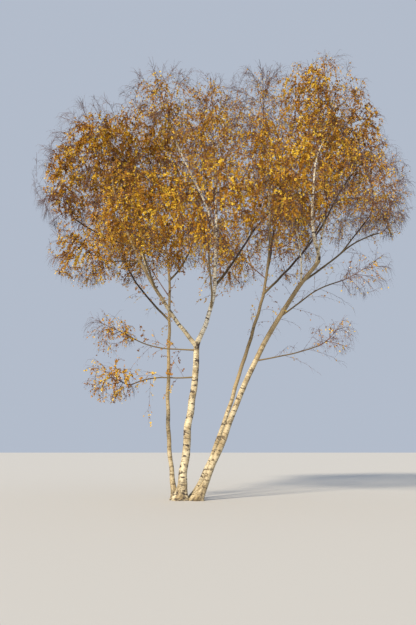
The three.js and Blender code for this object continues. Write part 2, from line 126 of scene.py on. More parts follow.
def makeSun(settings):
    lamp = bpy.data.lights.new("sun", "SUN")
    lamp.color = settings["sunColour"]
    lamp.energy = settings["sunStrength"]
    lamp.angle = math.radians(settings["sunSoftness"])
    sun = bpy.data.objects.new("sun", lamp)
    towards = directionOf(settings["sunBearing"], settings["sunRise"])
    sun.rotation_mode = "QUATERNION"
    sun.rotation_quaternion = Vector(towards).to_track_quat("Z", "Y")
    bpy.context.scene.collection.objects.link(sun)


makeCamera(cameraSettings)
makeFloor(stageSettings)
makeSky(stageSettings)
makeSun(stageSettings)
print("camera, floor and light made")


def table(columns, rows):            # a dictionary for each row, with the row's own name in it
    return {name: dict(zip(columns.split(", "), row), name=name) for name, row in rows.items()}


# The limbs, as the frame has them. A bough starts at a share along the limb that it comes from, and 1 is that
# limb's tip. The girth is the diameter at the root and at the tip, and the headings are bearings and rises.
stems = table("foot, length, girth, headings", {
    "left_stem": ((-0.19, 0.28), 10.85, (0.165, 0.052), [(165, 79), (90, 85), (96, 85), (160, 70)]),
    "middle_stem": ((0.0, 0.0), 5.37, (0.290, 0.190), [(0, 84), (0, 85), (0, 81), (250, 84)]),
    "right_slim_stem": ((0.38, 0.24), 13.35, (0.170, 0.052),
                        [(5, 63), (5, 72), (20, 71), (60, 86), (190, 85)]),
    "right_stem": ((0.535, -0.14), 9.18, (0.230, 0.125), [(-5, 64.5), (-8, 69), (-14, 59.5), (-17, 48.5)]),
})
boughs = table("from, along, length, girth, headings", {
    "middle_leader": ("middle_stem", 1, 7.0, (0.165, 0.050), [(-9, 60), (-55, 86), (-87, 84), (-162, 86)]),
    "left_bough": ("middle_stem", 0.97, 7.3, (0.140, 0.050), [(-163, 48), (-157, 56), (-160, 68), (111, 75)]),
    "left_rising_bough": ("left_bough", 0.4, 3.1, (0.072, 0.044), [(146, 73), (129, 65), (129, 81)]),
    "left_level_bough": ("left_bough", 0.47, 0.95, (0.050, 0.040), [(-178, 8), (-170, -10)]),
    "left_reaching_bough": ("left_bough", 0.55, 2.2, (0.060, 0.042), [(-167, 13), (-159, 18), (-164, 37)]),
    "front_left_bough": ("left_bough", 0.33, 2.5, (0.070, 0.044), [(-100, 24), (-102, 30), (-110, 46)]),
    "pale_leader": ("middle_leader", 0.52, 4.3, (0.090, 0.050),
                    [(-128, 80), (-147, 61), (-172, 63), (170, 74)]),
    "inner_front_bough": ("pale_leader", 0.31, 1.25, (0.058, 0.042), [(-73, 67), (-110, 50)]),
    "front_middle_bough": ("middle_leader", 0.19, 2.8, (0.072, 0.044), [(-85, 18), (-95, 25), (-93, 42)]),
    "dark_bough": ("middle_leader", 0.3, 4.76, (0.095, 0.046), [(36, 49), (42, 55), (33, 44)]),
    "dark_side_bough": ("dark_bough", 0.6, 1.6, (0.060, 0.042), [(-50, 66), (-80, 68), (-60, 74)]),
    "low_left_upper_bough": ("middle_stem", 0.945, 2.2, (0.052, 0.036), [(-157, -2), (-160, 1), (-157, 25)]),
    "low_left_lower_bough": ("middle_stem", 0.775, 2.3, (0.050, 0.036),
                             [(-146, -8), (-154, -1), (-149, -26)]),
    "back_left_bough": ("left_stem", 0.58, 4.5, (0.080, 0.044), [(140, 40), (135, 45), (120, 62)]),
    "back_middle_bough": ("left_stem", 0.72, 3.7, (0.074, 0.044), [(50, 42), (65, 55), (80, 65)]),
    "long_right_bough": ("right_slim_stem", 0.575, 6.2, (0.088, 0.044),
                         [(0, 43), (-9, 49), (-7, 64), (-15, 46)]),
    "outer_back_bough": ("long_right_bough", 0.36, 2.7, (0.060, 0.042), [(70, 38), (50, 45), (40, 60)]),
    "back_right_bough": ("right_slim_stem", 0.65, 3.9, (0.076, 0.044), [(75, 36), (80, 48), (60, 62)]),
    "right_leader": ("right_stem", 1, 5.15, (0.112, 0.048), [(-174, 70), (38, 83), (53, 77), (10, 53)]),
    "right_front_bough": ("right_stem", 0.965, 1.65, (0.076, 0.044), [(-60, 66), (-80, 50), (-85, 42)]),
    "right_reaching_bough": ("right_stem", 0.89, 3.29, (0.072, 0.042), [(2, 33), (1, 41), (14, 17)]),
    "right_outer_bough": ("right_reaching_bough", 0.52, 1.5, (0.052, 0.040), [(-55, 36), (-60, 30)]),
    "upright_bough": ("right_stem", 0.875, 2.25, (0.056, 0.040), [(-81, 66), (-109, 58), (-117, 62)]),
    "low_right_bough": ("right_stem", 0.73, 2.25, (0.054, 0.038), [(-22, 31), (-23, 34), (-26, 8)]),
    "lowest_right_bough": ("right_stem", 0.55, 2.15, (0.048, 0.036), [(-19, 7), (-19, 9), (-20, 17)]),
})
paleBoughs = ("middle_leader", "left_bough", "left_rising_bough", "pale_leader", "right_leader",
              "right_front_bough", "upright_bough")

# Each mass of foliage has an egg-shaped space. "leafy" says how many leaves its twigs still hold, and "edge"
# how many of those are left at the edge of the crown, or below 0 how early they run out. "bare" says how many
# leafless twigs arch over the edge, and "dense" how many hanging twigs there are.
masses = table("from, along, centre, half, leafy, edge, bare, dense", {
    "leaves_left_dome": ("left_bough", 1, (-3.15, -0.6, 12.15), (1.55, 1.65, 1.75), 1.05, -0.6, 2.4, 1.35),
    "leaves_left_rising": ("left_rising_bough", 1, (-2.1, 0.5, 12.25), (1.55, 1.5, 1.75),
                           1.05, -0.5, 2.4, 1.35),
    "leaves_left_outer": ("left_reaching_bough", 1, (-3.85, -1.2, 10.5), (1.3, 1.5, 1.6),
                          1.0, -0.9, 1.6, 1.0),
    "leaves_left_low": ("left_level_bough", 1, (-3.1, -1.5, 7.9), (1.25, 1.2, 1.15), 1.05, 0.35, 0.8, 1.0),
    "leaves_left_front": ("front_left_bough", 1, (-1.35, -3.2, 8.9), (1.5, 1.5, 1.6), 1.2, 0.5, 0.8, 1.0),
    "leaves_pale_top": ("pale_leader", 1, (-0.75, -0.9, 13.55), (1.5, 1.5, 1.65), 0.6, -0.2, 1.8, 1.3),
    "leaves_inner_front": ("inner_front_bough", 1, (0.7, -2.4, 11.1), (1.45, 1.45, 1.6), 0.43, 0.5, 0.8, 1.0),
    "leaves_middle_top": ("middle_leader", 1, (1.05, -0.4, 13.45), (1.4, 1.5, 1.75), 0.44, -0.2, 1.8, 1.3),
    "leaves_front_middle": ("front_middle_bough", 1, (1.1, -3.7, 8.6), (1.45, 1.4, 1.55),
                            0.85, 0.5, 0.8, 1.0),
    "leaves_dark_bough": ("dark_bough", 1, (4.55, 2.2, 12.3), (1.7, 1.5, 1.85), 1.1, 0.5, 0.8, 1.0),
    "leaves_dark_side": ("dark_side_bough", 1, (2.75, -1.0, 11.75), (1.3, 1.4, 1.65), 0.62, 0.5, 0.8, 1.0),
    "leaves_low_left_upper": ("low_left_upper_bough", 1, (-2.3, -1.05, 5.35), (0.95, 0.85, 0.75),
                              0.42, 0.6, 0.5, 1.0),
    "leaves_low_left_lower": ("low_left_lower_bough", 1, (-2.1, -1.35, 3.8), (1.05, 0.85, 0.75),
                              0.5, 0.8, 0.4, 1.0),
    "leaves_left_stem_top": ("left_stem", 1, (-1.0, 1.8, 12.5), (1.65, 1.6, 1.9), 0.85, 0.15, 1.4, 1.0),
    "leaves_heart": ("left_stem", 0.78, (-0.2, -0.4, 9.1), (1.2, 1.3, 1.45), 0.85, 0.6, 0.8, 1.0),
    "leaves_left_back": ("left_stem", 0.66, (-1.95, 1.7, 9.2), (1.45, 1.3, 1.5), 0.95, 0.5, 0.6, 0.8),
    "leaves_back_left": ("back_left_bough", 1, (-2.9, 3.1, 11.3), (1.95, 1.6, 1.9), 1.0, 0.3, 0.7, 0.8),
    "leaves_back_middle": ("back_middle_bough", 1, (0.55, 3.5, 12.2), (1.85, 1.5, 1.9), 0.8, 0.4, 0.6, 0.75),
    "leaves_slim_top": ("right_slim_stem", 1, (3.05, 0.8, 14.5), (1.55, 1.6, 1.8), 0.18, 0.1, 2.4, 1.9),
    "leaves_hanging": ("right_slim_stem", 0.7, (3.85, -0.3, 8.5), (0.9, 0.95, 1.35), 0.5, 0.4, 0.8, 1.0),
    "leaves_back_low": ("right_slim_stem", 0.62, (1.75, 2.5, 9.3), (1.6, 1.3, 1.5), 0.75, 0.5, 0.6, 0.8),
    "leaves_back_right": ("back_right_bough", 1, (3.9, 3.8, 11.5), (1.9, 1.4, 1.8), 0.85, 0.4, 0.6, 0.8),
    "leaves_right_shoulder": ("long_right_bough", 1, (6.2, 0.3, 12.8), (1.25, 1.5, 1.75),
                              1.15, 0.7, 1.0, 1.2),
    "leaves_outer_back": ("outer_back_bough", 1, (6.25, 2.5, 11.4), (1.5, 1.4, 1.75), 0.26, 0.25, 0.8, 1.0),
    "leaves_right_top": ("right_leader", 1, (5.05, -0.4, 14.1), (1.7, 1.6, 1.75), 0.95, 0.55, 1.2, 1.45),
    "leaves_right_front": ("right_front_bough", 1, (4.25, -3.0, 10.4), (1.45, 1.5, 1.7),
                           0.65, 0.45, 0.8, 1.0),
    "leaves_right_outer": ("right_reaching_bough", 1, (6.95, -0.4, 10.6), (1.15, 1.4, 1.8),
                           0.26, 0.25, 1.0, 1.1),
    "leaves_outer_front": ("right_outer_bough", 1, (5.9, -2.5, 9.9), (1.3, 1.4, 1.55), 0.2, 0.25, 1.0, 1.1),
    "leaves_upright": ("upright_bough", 1, (2.9, -3.05, 9.3), (1.4, 1.4, 1.55), 0.5, 0.45, 0.8, 1.0),
    "leaves_low_right": ("low_right_bough", 1, (5.9, -1.75, 7.15), (0.95, 0.9, 0.85), 0.08, 0.5, 0.4, 1.0),
    "leaves_lowest_right": ("lowest_right_bough", 1, (4.95, -1.35, 5.2), (0.85, 0.75, 0.7),
                            0.06, 0.5, 0.4, 1.0),
})

limbRule = {
    "belowGround": 0.15,
    "turnSteps": 24,
    "fineSteps": 12,                 # finer points between two turns
    "clearance": 0.0003,
    "margin": 0.035,                 # least room between a branch and a limb
    "marks": 61,                     # places along a limb where this room is measured
    "pieceLength": 0.9,              # of the bent pieces that a limb's own twigs grow from
}
up = np.array([0.0, 0.0, 1.0])
limbs = {**stems, **boughs}


def isStem(limb):
    return limb["name"] in stems


def carriesOn(limb):                 # whether it starts at its parent's tip, as some boughs and masses do
    return limb.get("along") == 1


def unit(vectors):
    return vectors / np.maximum(np.linalg.norm(vectors, axis=-1, keepdims=True), 1e-9)


def mix(start, end, share):
    return start + (end - start) * share


def numbersFrom(seed):               # the same numbers from 0 to 1 each time, for one seed
    state = seed * 7919 + 17
    while True:
        state = (state * 1664525 + 1013904223) % 2 ** 32
        yield state / 2 ** 32


def centreLine(root, headings, length):
    steps = limbRule["turnSteps"]
    directions = [directionOf(*heading) for heading in headings]
    points = [np.array(root, float)]
    for i in range(steps):
        turn = (i + 0.5) / steps * (len(directions) - 1)
        first = min(int(turn), len(directions) - 2)
        heading = unit(mix(directions[first], directions[first + 1], turn - first))
        points.append(points[-1] + heading * length / steps)
    return smoothLine(np.array(points), limbRule["fineSteps"])


def smoothLine(points, perStep):
    ends = np.vstack([2 * points[0] - points[1], points, 2 * points[-1] - points[-2]])
    before, start, end, after = (ends[i:len(ends) - 3 + i, None, :] for i in range(4))
    share = (np.arange(perStep) / perStep)[None, :, None]
    inside = 0.5 * (2 * start + (end - before) * share
                    + (2 * before - 5 * start + 4 * end - after) * share ** 2
                    + (3 * start - before - 3 * end + after) * share ** 3)
    return np.vstack([inside.reshape(-1, 3), points[-1:]])


def pointAt(line, share):
    place = np.clip(np.asarray(share, float), 0, 1) * (len(line) - 1)
    first = np.minimum(place.astype(int), len(line) - 2)
    return mix(line[first], line[first + 1], (place - first)[..., None])


def headingAt(line, share):
    step = 1.0 / (len(line) - 1)
    return unit(pointAt(line, np.asarray(share) + step) - pointAt(line, np.asarray(share) - step))


def bentParts(control, share):       # a bent twig is three points: its root, its bend and its tip
    return control[..., 0, :], control[..., 1, :], control[..., 2, :], np.asarray(share, float)[..., None]


def curveAt(control, share):
    root, bend, tip, share = bentParts(control, share)
    return root * (1 - share) ** 2 + 2 * bend * share * (1 - share) + tip * share ** 2


def curveHeading(control, share):
    root, bend, tip, share = bentParts(control, share)
    return unit((1 - share) * (bend - root) + share * (tip - bend))


def evenLine(control, count=32, samples=200):        # points at even distances along a bent twig
    dense = curveAt(np.repeat(control[None], samples, 0), np.linspace(0, 1, samples))
    run = np.concatenate([[0], np.cumsum(np.linalg.norm(np.diff(dense, axis=0), axis=1))])
    marks = np.linspace(0, run[-1], count + 1)
    return np.stack([np.interp(marks, run, dense[:, axis]) for axis in range(3)], 1)


def lineLength(line):
    return float(np.linalg.norm(np.diff(line, axis=0), axis=1).sum())


def settleLimbs():
    for limb in limbs.values():
        if isStem(limb):
            heading = directionOf(*limb["headings"][0])
            root = np.array([*limb["foot"], 0.0]) - heading * limbRule["belowGround"] / heading[2]
        else:
            parent = limbs[limb["from"]]["line"]
            root = pointAt(parent, limb["along"])
            if carriesOn(limb):
                root = root - headingAt(parent, 1.0) * limb["girth"][0] / 2
        limb["line"] = centreLine(root, limb["headings"], limb["length"])
        limb["pale"] = isStem(limb) or limb["name"] in paleBoughs


settleLimbs()


# Mesh making from rows of numbers
def meshPiece(name, points, triangles, material, smooth):
    mesh = bpy.data.meshes.new(name)
    triangles = np.asarray(triangles, np.int32)
    mesh.vertices.add(len(points))
    mesh.vertices.foreach_set("co", np.asarray(points, np.float32).ravel())
    mesh.loops.add(triangles.size)
    mesh.loops.foreach_set("vertex_index", triangles.ravel())
    mesh.polygons.add(len(triangles))
    mesh.polygons.foreach_set("loop_start", np.arange(0, triangles.size, 3, dtype=np.int32))
    mesh.polygons.foreach_set("use_smooth", np.full(len(triangles), smooth))
    mesh.materials.append(material)
    mesh.update(calc_edges=True)
    piece = bpy.data.objects.new(name, mesh)
    bpy.context.scene.collection.objects.link(piece)
    return piece


def setNumbers(piece, name, values):
    kind, part = ("FLOAT_VECTOR", "vector") if values.ndim == 2 else ("FLOAT", "value")
    attribute = piece.data.attributes.new(name, kind, "POINT")
    attribute.data.foreach_set(part, values.astype(np.float32).ravel())


def ringTriangles(rings, sides):     # the wall of a tube whose corners are numbered ring by ring
    ring = np.arange(rings - 1)[:, None] * sides
    side = np.arange(sides)[None, :]
    here = ring + side
    beside = ring + (side + 1) % sides
    lower = np.stack([here, beside, beside + sides], -1)
    upper = np.stack([here, beside + sides, here + sides], -1)
    return np.concatenate([lower.reshape(-1, 3), upper.reshape(-1, 3)])


def closedTriangles(rings, sides):   # the wall and both its ends, whose middles are the last two corners
    ring = np.arange(sides)
    beside, end = (ring + 1) % sides, (rings - 1) * sides
    root = np.stack([np.full(sides, rings * sides), beside, ring], -1)
    tip = np.stack([np.full(sides, rings * sides + 1), end + ring, end + beside], -1)
    return np.concatenate([ringTriangles(rings, sides), root, tip])


def closedRows(rows):                # a row for each corner of the wall, then for the middle of each end
    return np.concatenate([rows.reshape(-1, *rows.shape[2:]), rows[:1].mean(1), rows[-1:].mean(1)])


def acrossLine(line):                # two directions across a line, which turn as little as they can
    tangents = unit(np.gradient(line, axis=0))
    normals = [unit(np.cross(tangents[0], (0.0, 1.0, 0.0)))]
    for tangent in tangents[1:]:
        normals.append(unit(normals[-1] - tangent * (normals[-1] @ tangent)))
    return tangents, np.array(normals), np.cross(tangents, normals)


# Nodes of a material
def newMaterial(name):
    material = bpy.data.materials.new(name)
    material.use_nodes = True
    return material, material.node_tree, material.node_tree.nodes["Principled BSDF"]


def setSocket(tree, socket, value):  # to another node's result or to a plain value
    if isinstance(value, bpy.types.NodeSocket):
        tree.links.new(value, socket)
    else:
        socket.default_value = value


def addNode(tree, kind, inputs=None, **settings):
    node = tree.nodes.new(kind)
    for key, value in settings.items():
        setattr(node, key, value)
    for key, value in (inputs or {}).items():
        setSocket(tree, node.inputs[key], value)
    return node


def storedValue(tree, name, output="Fac"):
    return addNode(tree, "ShaderNodeAttribute", attribute_name=name).outputs[output]


def objectPlace(tree):
    return addNode(tree, "ShaderNodeTexCoord").outputs["Object"]


def noiseOf(tree, place, pattern):
    mapping = addNode(tree, "ShaderNodeMapping", {"Vector": place, "Scale": pattern["stretch"]})
    inputs = {"Vector": mapping.outputs[0], "Scale": 1.0, "Detail": pattern["detail"],
              "Roughness": pattern["roughness"]}
    return addNode(tree, "ShaderNodeTexNoise", inputs).outputs["Fac"]


def stepped(tree, value, low, high, least=0.0, most=1.0):
    inputs = {"Value": value, "From Min": low, "From Max": high, "To Min": least, "To Max": most}
    return addNode(tree, "ShaderNodeMapRange", inputs).outputs["Result"]


def patternOf(tree, place, pattern, most=1.0):
    return stepped(tree, noiseOf(tree, place, pattern), *pattern["between"], 0.0, most)


def blended(tree, share, first, second):
    return addNode(tree, "ShaderNodeMix", {0: share, 6: first, 7: second}, data_type="RGBA").outputs[2]


def combined(tree, operation, first, second):
    return addNode(tree, "ShaderNodeMath", {0: first, 1: second}, operation=operation).outputs[0]


def finishShader(tree, shader, finish, colour, height, wear, between):
    # the surface goes from smooth to rough as its wear goes between two values
    relief = {"Height": height, "Strength": finish["relief"], "Distance": finish["depth"]}
    setSocket(tree, shader.inputs["Base Color"], colour)
    setSocket(tree, shader.inputs["Roughness"], stepped(tree, wear, *between, *finish["roughness"]))
    setSocket(tree, shader.inputs["Normal"], addNode(tree, "ShaderNodeBump", relief).outputs["Normal"])


barkColours = {
    "cream": (0.80, 0.70, 0.48, 1.0),
    "white": (0.90, 0.84, 0.69, 1.0),
    "tan": (0.36, 0.27, 0.14, 1.0),
    "mark": (0.070, 0.052, 0.042, 1.0),
    # the dark of furrows, scars and chevrons, which is also painted shade in the forks where boughs leave
    "furrowScarAndForkShade": (0.045, 0.035, 0.030, 1.0),
    "brown": (0.040, 0.026, 0.017, 1.0),
    "darkBrown": (0.016, 0.011, 0.008, 1.0),
    "twigBrown": (0.200, 0.105, 0.090, 1.0),
    "twigDark": (0.075, 0.042, 0.042, 1.0),
}
# Noise, and the two values between which each pattern comes in
patterns = table("stretch, detail, roughness, between", {
    "stains": ((3.0, 3.0, 1.6), 5.0, 0.65, (0.40, 0.60)),
    "dashes": ((8.0, 8.0, 70.0), 3.0, 0.55, (0.56, 0.63)),
    "bands": ((4.0, 4.0, 24.0), 4.0, 0.65, (0.56, 0.64)),
    "patches": ((4.8, 4.8, 9.0), 5.0, 0.65, (0.53, 0.585)),
    "paleGrain": ((60.0, 60.0, 200.0), 4.0, 0.7, (0.4, 0.62)),
    "shades": ((4.0, 4.0, 2.0), 3.0, 0.55, (0.38, 0.66)),
    "lenticels": ((12.0, 12.0, 45.0), 3.0, 0.55, (0.56, 0.66)),
    "darkGrain": ((50.0, 50.0, 160.0), 4.0, 0.7, (0.3, 0.7)),
    "twigShades": ((1.3, 1.3, 1.3), 2.0, 0.55, (0.35, 0.65)),
    "twigGrain": ((90.0, 90.0, 90.0), 3.0, 0.55, (0.3, 0.7)),
    "veins": ((120.0, 120.0, 120.0), 2.0, 0.55, (0.35, 0.65)),
})
finishes = table("roughness, relief, depth", {
    "paleBark": ((0.52, 0.86), 0.6, 0.006),
    "darkBark": ((0.60, 0.85), 0.5, 0.004),
    "twigBark": ((0.50, 0.75), 0.3, 0.002),
    "leaf": ((0.45, 0.75), 0.25, 0.002),
})
markStrengths = {"dashes": 0.45, "bands": 0.8, "lenticels": 0.35, "grainHeight": 0.4, "markDepth": 0.8}
# Between which two values of its paleness bark turns tan, then cream and then white
paleSteps = {"tan": (0.0, 0.5), "cream": (0.5, 1.0), "white": (1.0, 2.0)}
dullShine = 0.25                     # the specular level of brown boughs and leaves


def paleBark(colours, strengths):
    material, tree, shader = newMaterial("paleBark")
    place, paleness = storedValue(tree, "barkPlace", "Vector"), storedValue(tree, "paleness")
    dashes = combined(tree, "MULTIPLY", patternOf(tree, place, patterns["dashes"]), strengths["dashes"])
    bands = combined(tree, "MULTIPLY", patternOf(tree, place, patterns["bands"]), strengths["bands"])
    patches = patternOf(tree, place, patterns["patches"])
    marks = combined(tree, "MAXIMUM", combined(tree, "MAXIMUM", dashes, bands), patches)
    white = blended(tree, patternOf(tree, place, patterns["stains"]), colours["cream"], colours["tan"])
    white = blended(tree, stepped(tree, paleness, *paleSteps["white"]), white, colours["white"])
    white = blended(tree, marks, white, colours["mark"])
    grain = noiseOf(tree, place, patterns["paleGrain"])
    grained = stepped(tree, grain, *patterns["paleGrain"]["between"])
    brown = blended(tree, grained, colours["darkBrown"], colours["brown"])
    colour = blended(tree, stepped(tree, paleness, *paleSteps["tan"]), brown, colours["tan"])
    colour = blended(tree, stepped(tree, paleness, *paleSteps["cream"]), colour, white)
    # darker in furrows, scars and the chevrons where boughs leave, with painted shade in those forks
    colour = blended(tree, storedValue(tree, "furrowScarAndForkShade"), colour, colours["furrowScarAndForkShade"])
    height = combined(tree, "SUBTRACT", combined(tree, "MULTIPLY", grain, strengths["grainHeight"]),
                      combined(tree, "MULTIPLY", marks, strengths["markDepth"]))
    finishShader(tree, shader, finishes["paleBark"], colour, height, marks, (0.0, 1.0))
    return material


def darkBark(colours, strengths):
    material, tree, shader = newMaterial("darkBark")
    shader.inputs["Specular IOR Level"].default_value = dullShine
    place, paleness = storedValue(tree, "barkPlace", "Vector"), storedValue(tree, "paleness")
    colour = blended(tree, patternOf(tree, place, patterns["shades"]), colours["darkBrown"], colours["brown"])
    lenticels = patternOf(tree, place, patterns["lenticels"], strengths["lenticels"])
    # brown bark turns tan at its lenticels and where it is pale: at a bough's root, and as painted sunlight
    # on some boughs
    colour = blended(tree, combined(tree, "MAXIMUM", lenticels, paleness), colour, colours["tan"])
    # darker in furrows, scars and the chevrons where boughs leave, with painted shade in those forks
    colour = blended(tree, storedValue(tree, "furrowScarAndForkShade"), colour, colours["furrowScarAndForkShade"])
    grain = noiseOf(tree, place, patterns["darkGrain"])
    finishShader(tree, shader, finishes["darkBark"], colour, grain, grain, patterns["darkGrain"]["between"])
    return material


def twigBark(colours):
    material, tree, shader = newMaterial("twigBark")
    place = objectPlace(tree)
    shades = patternOf(tree, place, patterns["twigShades"])
    colour = blended(tree, shades, colours["twigDark"], colours["twigBrown"])
    grain = noiseOf(tree, place, patterns["twigGrain"])
    finishShader(tree, shader, finishes["twigBark"], colour, grain, grain, patterns["twigGrain"]["between"])
    return material


# Stems and boughs with the relief of their bark. Uneven growth is a sum of waves, given by their turns round
# the limb, their length along it and their number.
barkRelief = {
    "flareSpread": 1.3,
    "flareHeight": 0.23,
    "flareRidges": 5,
    "flareRidgeDepth": 0.12,
    "fineRing": 0.024,               # distance between rings near the ground
    "coarseRing": 0.060,             # and higher up
    "boughRing": 0.066,
    "fewestRings": 8,
    "fineBelow": 2.2,
    "groundGap": 0.01,               # least height of a ring above the ground, apart from the first
    "stemSides": 32,
    "boughSides": 12,
    "tipDome": (0.95, 0.8, 0.6, 0.4, 0.2, 0.08),     # rings near a stem's tip, in radii before it
    "knobs": 0.022,                  # uneven growth, as a share of the radius
    "knobWaves": ((0, 4), (0.25, 1.6), 9),
    "furrowDepth": 0.075,
    "furrowHeight": 0.75,
    "plateWaves": ((6, 15), (0.25, 0.9), 8),         # furrows run where these waves cross 0
    "plateWidth": 2.4,               # the more, the narrower the furrows between them
    "joinReach": 0.30,               # how far inside its parent a bough starts that carries it on
    "joinRings": 7,
    "joinSmoothing": 14,
    "joinCut": 0.10,                 # how far before its tip the parent's bark ends
    "joinTaper": 0.2,                # how much thinner it is there
    "joinPoint": 0.02,               # the square of the share of its radius left at the very end
    "sway": 0.16,                    # how far the middle line sways, as a share of the radius
    "swayFrom": 0.4,                 # metres from the root
    "swayWaves": ((0, 0), (0.5, 2.2), 6),
    "rootSwell": 0.35,               # of the bough's own radius
    "swellReach": 2.0,               # in radii of the limb that it leaves
    "collarLength": 0.45,            # along the bough that leaves
    "collarMarks": 12,               # measured in so many places
    "collarReach": 1.5,              # in its radii
    "collarSwell": 0.15,
    "collarShade": (1.3, 0.45, 0.8),                 # how steeply the chevron and the painted fork shade darken, from where and how much
    "scarsPerMetre": 1.1,
    "boughScars": 0.7,               # of those on a stem
    "scarShares": (0.04, 0.96),      # between these shares of the limb
    "scarSize": (0.022, 0.050),
    "scarShape": (0.7, 1.5),         # its height and width, in its size
    "scarSwell": 0.05,
    "scarShade": 0.95,
    "paleGirth": (0.020, 0.052),     # brown below the first girth, white above the second
    # these are painted whiter than cream, by this much, as painted sunlight on them among the leaves
    "sunlitWhiteBoughs": {"middle_leader": 0.9, "pale_leader": 1.0, "right_leader": 0.8, "upright_bough": 0.5},
    "whiteFrom": 0.6,                # metres from the root
    "tipFade": 0.22,                 # the share of a pale bough over which it turns brown towards its tip
    "tipPale": 0.15,                 # and how pale it stays there
    "rootPale": 0.7,
    "rootPaleReach": 0.45,
    "paleAlong": {                   # metres along a pale limb, and how pale it is there, from 0 for brown
        "right_stem": ((1.0, 2.0, 4.2, 7.2), (0.78, 0.88, 0.88, 0.45)),
        "right_slim_stem": ((2.8, 5.0, 9.6, 10.8), (0.95, 0.35, 0.35, 1.3)),
        # the left stem turns darker up its length as painted shade from the branches round it
        "left_stem": ((2.2, 4.5), (0.78, 0.52)),
        "left_bough": ((1.2, 3.2), (1.0, 0.55)),
    },
    "sunlitTanBoughs": {"low_left_upper_bough": 0.9, "low_left_lower_bough": 0.9, "lowest_right_bough": 0.6,
                  "low_right_bough": 0.4, "right_reaching_bough": 0.3,
                  "front_middle_bough": 0.7, "front_left_bough": 0.5},     # how pale these brown boughs are: their tan is painted sunlight
}


def waves(dice, angle, run, turns, lengths, count):  # smooth uneven values, mostly between -1 and 1
    total = np.zeros(np.broadcast(angle, run).shape)
    for _ in range(count):
        around = dice.integers(turns[0], turns[1] + 1)
        along = 2 * np.pi / dice.uniform(*lengths)
        total = total + np.sin(around * angle + along * run + dice.uniform(0, 2 * np.pi))
    return total / math.sqrt(count)


def isCarriedOn(limb):
    return any(bough["from"] == limb["name"] and carriesOn(bough) for bough in boughs.values())


def barkEnd(limb, settings):         # metres from the root; a stem ends inside the bough that carries it on
    return limb["length"] - settings["joinCut"] * isCarriedOn(limb)


def ringShares(limb, settings):
    length = limb["length"]
    if not isStem(limb):
        return np.linspace(0, 1, max(settings["fewestRings"], int(length / settings["boughRing"])) + 1)
    fineEnd, last = settings["fineBelow"] / length, barkEnd(limb, settings) / length
    fine = np.arange(0, fineEnd, settings["fineRing"] / length)
    coarse = np.linspace(fineEnd, last, int((length - settings["fineBelow"]) / settings["coarseRing"]) + 1)
    dome = last - limb["girth"][1] / 2 / length * np.array(settings["tipDome"])
    return np.unique(np.concatenate([fine, coarse, dome]))


def barkLine(limb, settings):        # the places of the rings, and how far along the limb each of them is
    shares = ringShares(limb, settings)
    line, run = pointAt(limb["line"], shares), shares * limb["length"]
    if carriesOn(limb):              # starts inside its parent, and bends out of it smoothly
        parent = limbs[limb["from"]]
        before = np.linspace(1 - settings["joinReach"] / parent["length"], 1, settings["joinRings"] + 1)[:-1]
        line = np.concatenate([pointAt(parent["line"], before), line[2:]])
        run = np.concatenate([(before - 1) * parent["length"], run[2:]])
        for _ in range(settings["joinSmoothing"]):
            line[1:-1] = (line[:-2] + 2 * line[1:-1] + line[2:]) / 4
    return line, run[:, None]


def barkRadius(limb, run, settings):
    plain = mix(*limb["girth"], np.clip(run / limb["length"], 0, 1)) / 2
    shaped = plain
    if not isStem(limb):             # the root swells, to its parent's girth where it carries its parent on
        parentRadius = mix(*limbs[limb["from"]]["girth"], limb["along"]) / 2
        swell = parentRadius - plain[0] if carriesOn(limb) else plain[0] * settings["rootSwell"]
        shaped = plain + swell * np.exp(-np.maximum(run, 0) / (settings["swellReach"] * parentRadius))
    if isCarriedOn(limb):
        into = np.clip(1 + (run - limb["length"]) / settings["joinReach"], 0, 1)
        tipRadius = limb["girth"][1] / 2
        rounded = np.clip((run - barkEnd(limb, settings) + tipRadius) / tipRadius, 0, 1)
        dome = np.sqrt(np.maximum(1 - rounded ** 2, settings["joinPoint"]))
        shaped = shaped * (1 - settings["joinTaper"] * into) * dome
    return plain, shaped


def rootFlare(radii, height, angle, run, dice, settings):
    nearGround = np.exp(-height / settings["flareHeight"])
    ridge = 1 + settings["flareRidgeDepth"] * np.cos(settings["flareRidges"] * angle) * nearGround
    radii = radii * (1 + settings["flareSpread"] * nearGround) * ridge
    plates = np.abs(waves(dice, angle, run, *settings["plateWaves"])) * settings["plateWidth"]
    furrowScarAndForkShade = np.clip(1 - plates, 0, 1) * np.exp(-height / settings["furrowHeight"])
    return radii * (1 - settings["furrowDepth"] * furrowScarAndForkShade), furrowScarAndForkShade


def addCollars(limb, surface, radii, furrowScarAndForkShade, settings):
    # the bark swells where a bough leaves and darkens there: a black chevron of the bark together with
    # painted shade in the fork
    steepness, start, most = settings["collarShade"]
    for child in boughs.values():
        if child["from"] != limb["name"]:
            continue
        childRadius = child["girth"][0] / 2
        marks = np.linspace(0, settings["collarLength"] / child["length"], settings["collarMarks"])
        middle = pointAt(child["line"], marks)
        gap = np.linalg.norm(surface[:, :, None] - middle[None, None], axis=-1).min(-1)
        near = np.exp(-(gap / (childRadius * settings["collarReach"])) ** 2)
        radii = radii + childRadius * settings["collarSwell"] * near
        furrowScarAndForkShade = np.maximum(furrowScarAndForkShade, np.clip(near * steepness - start, 0, 1) * most)
    return radii, furrowScarAndForkShade


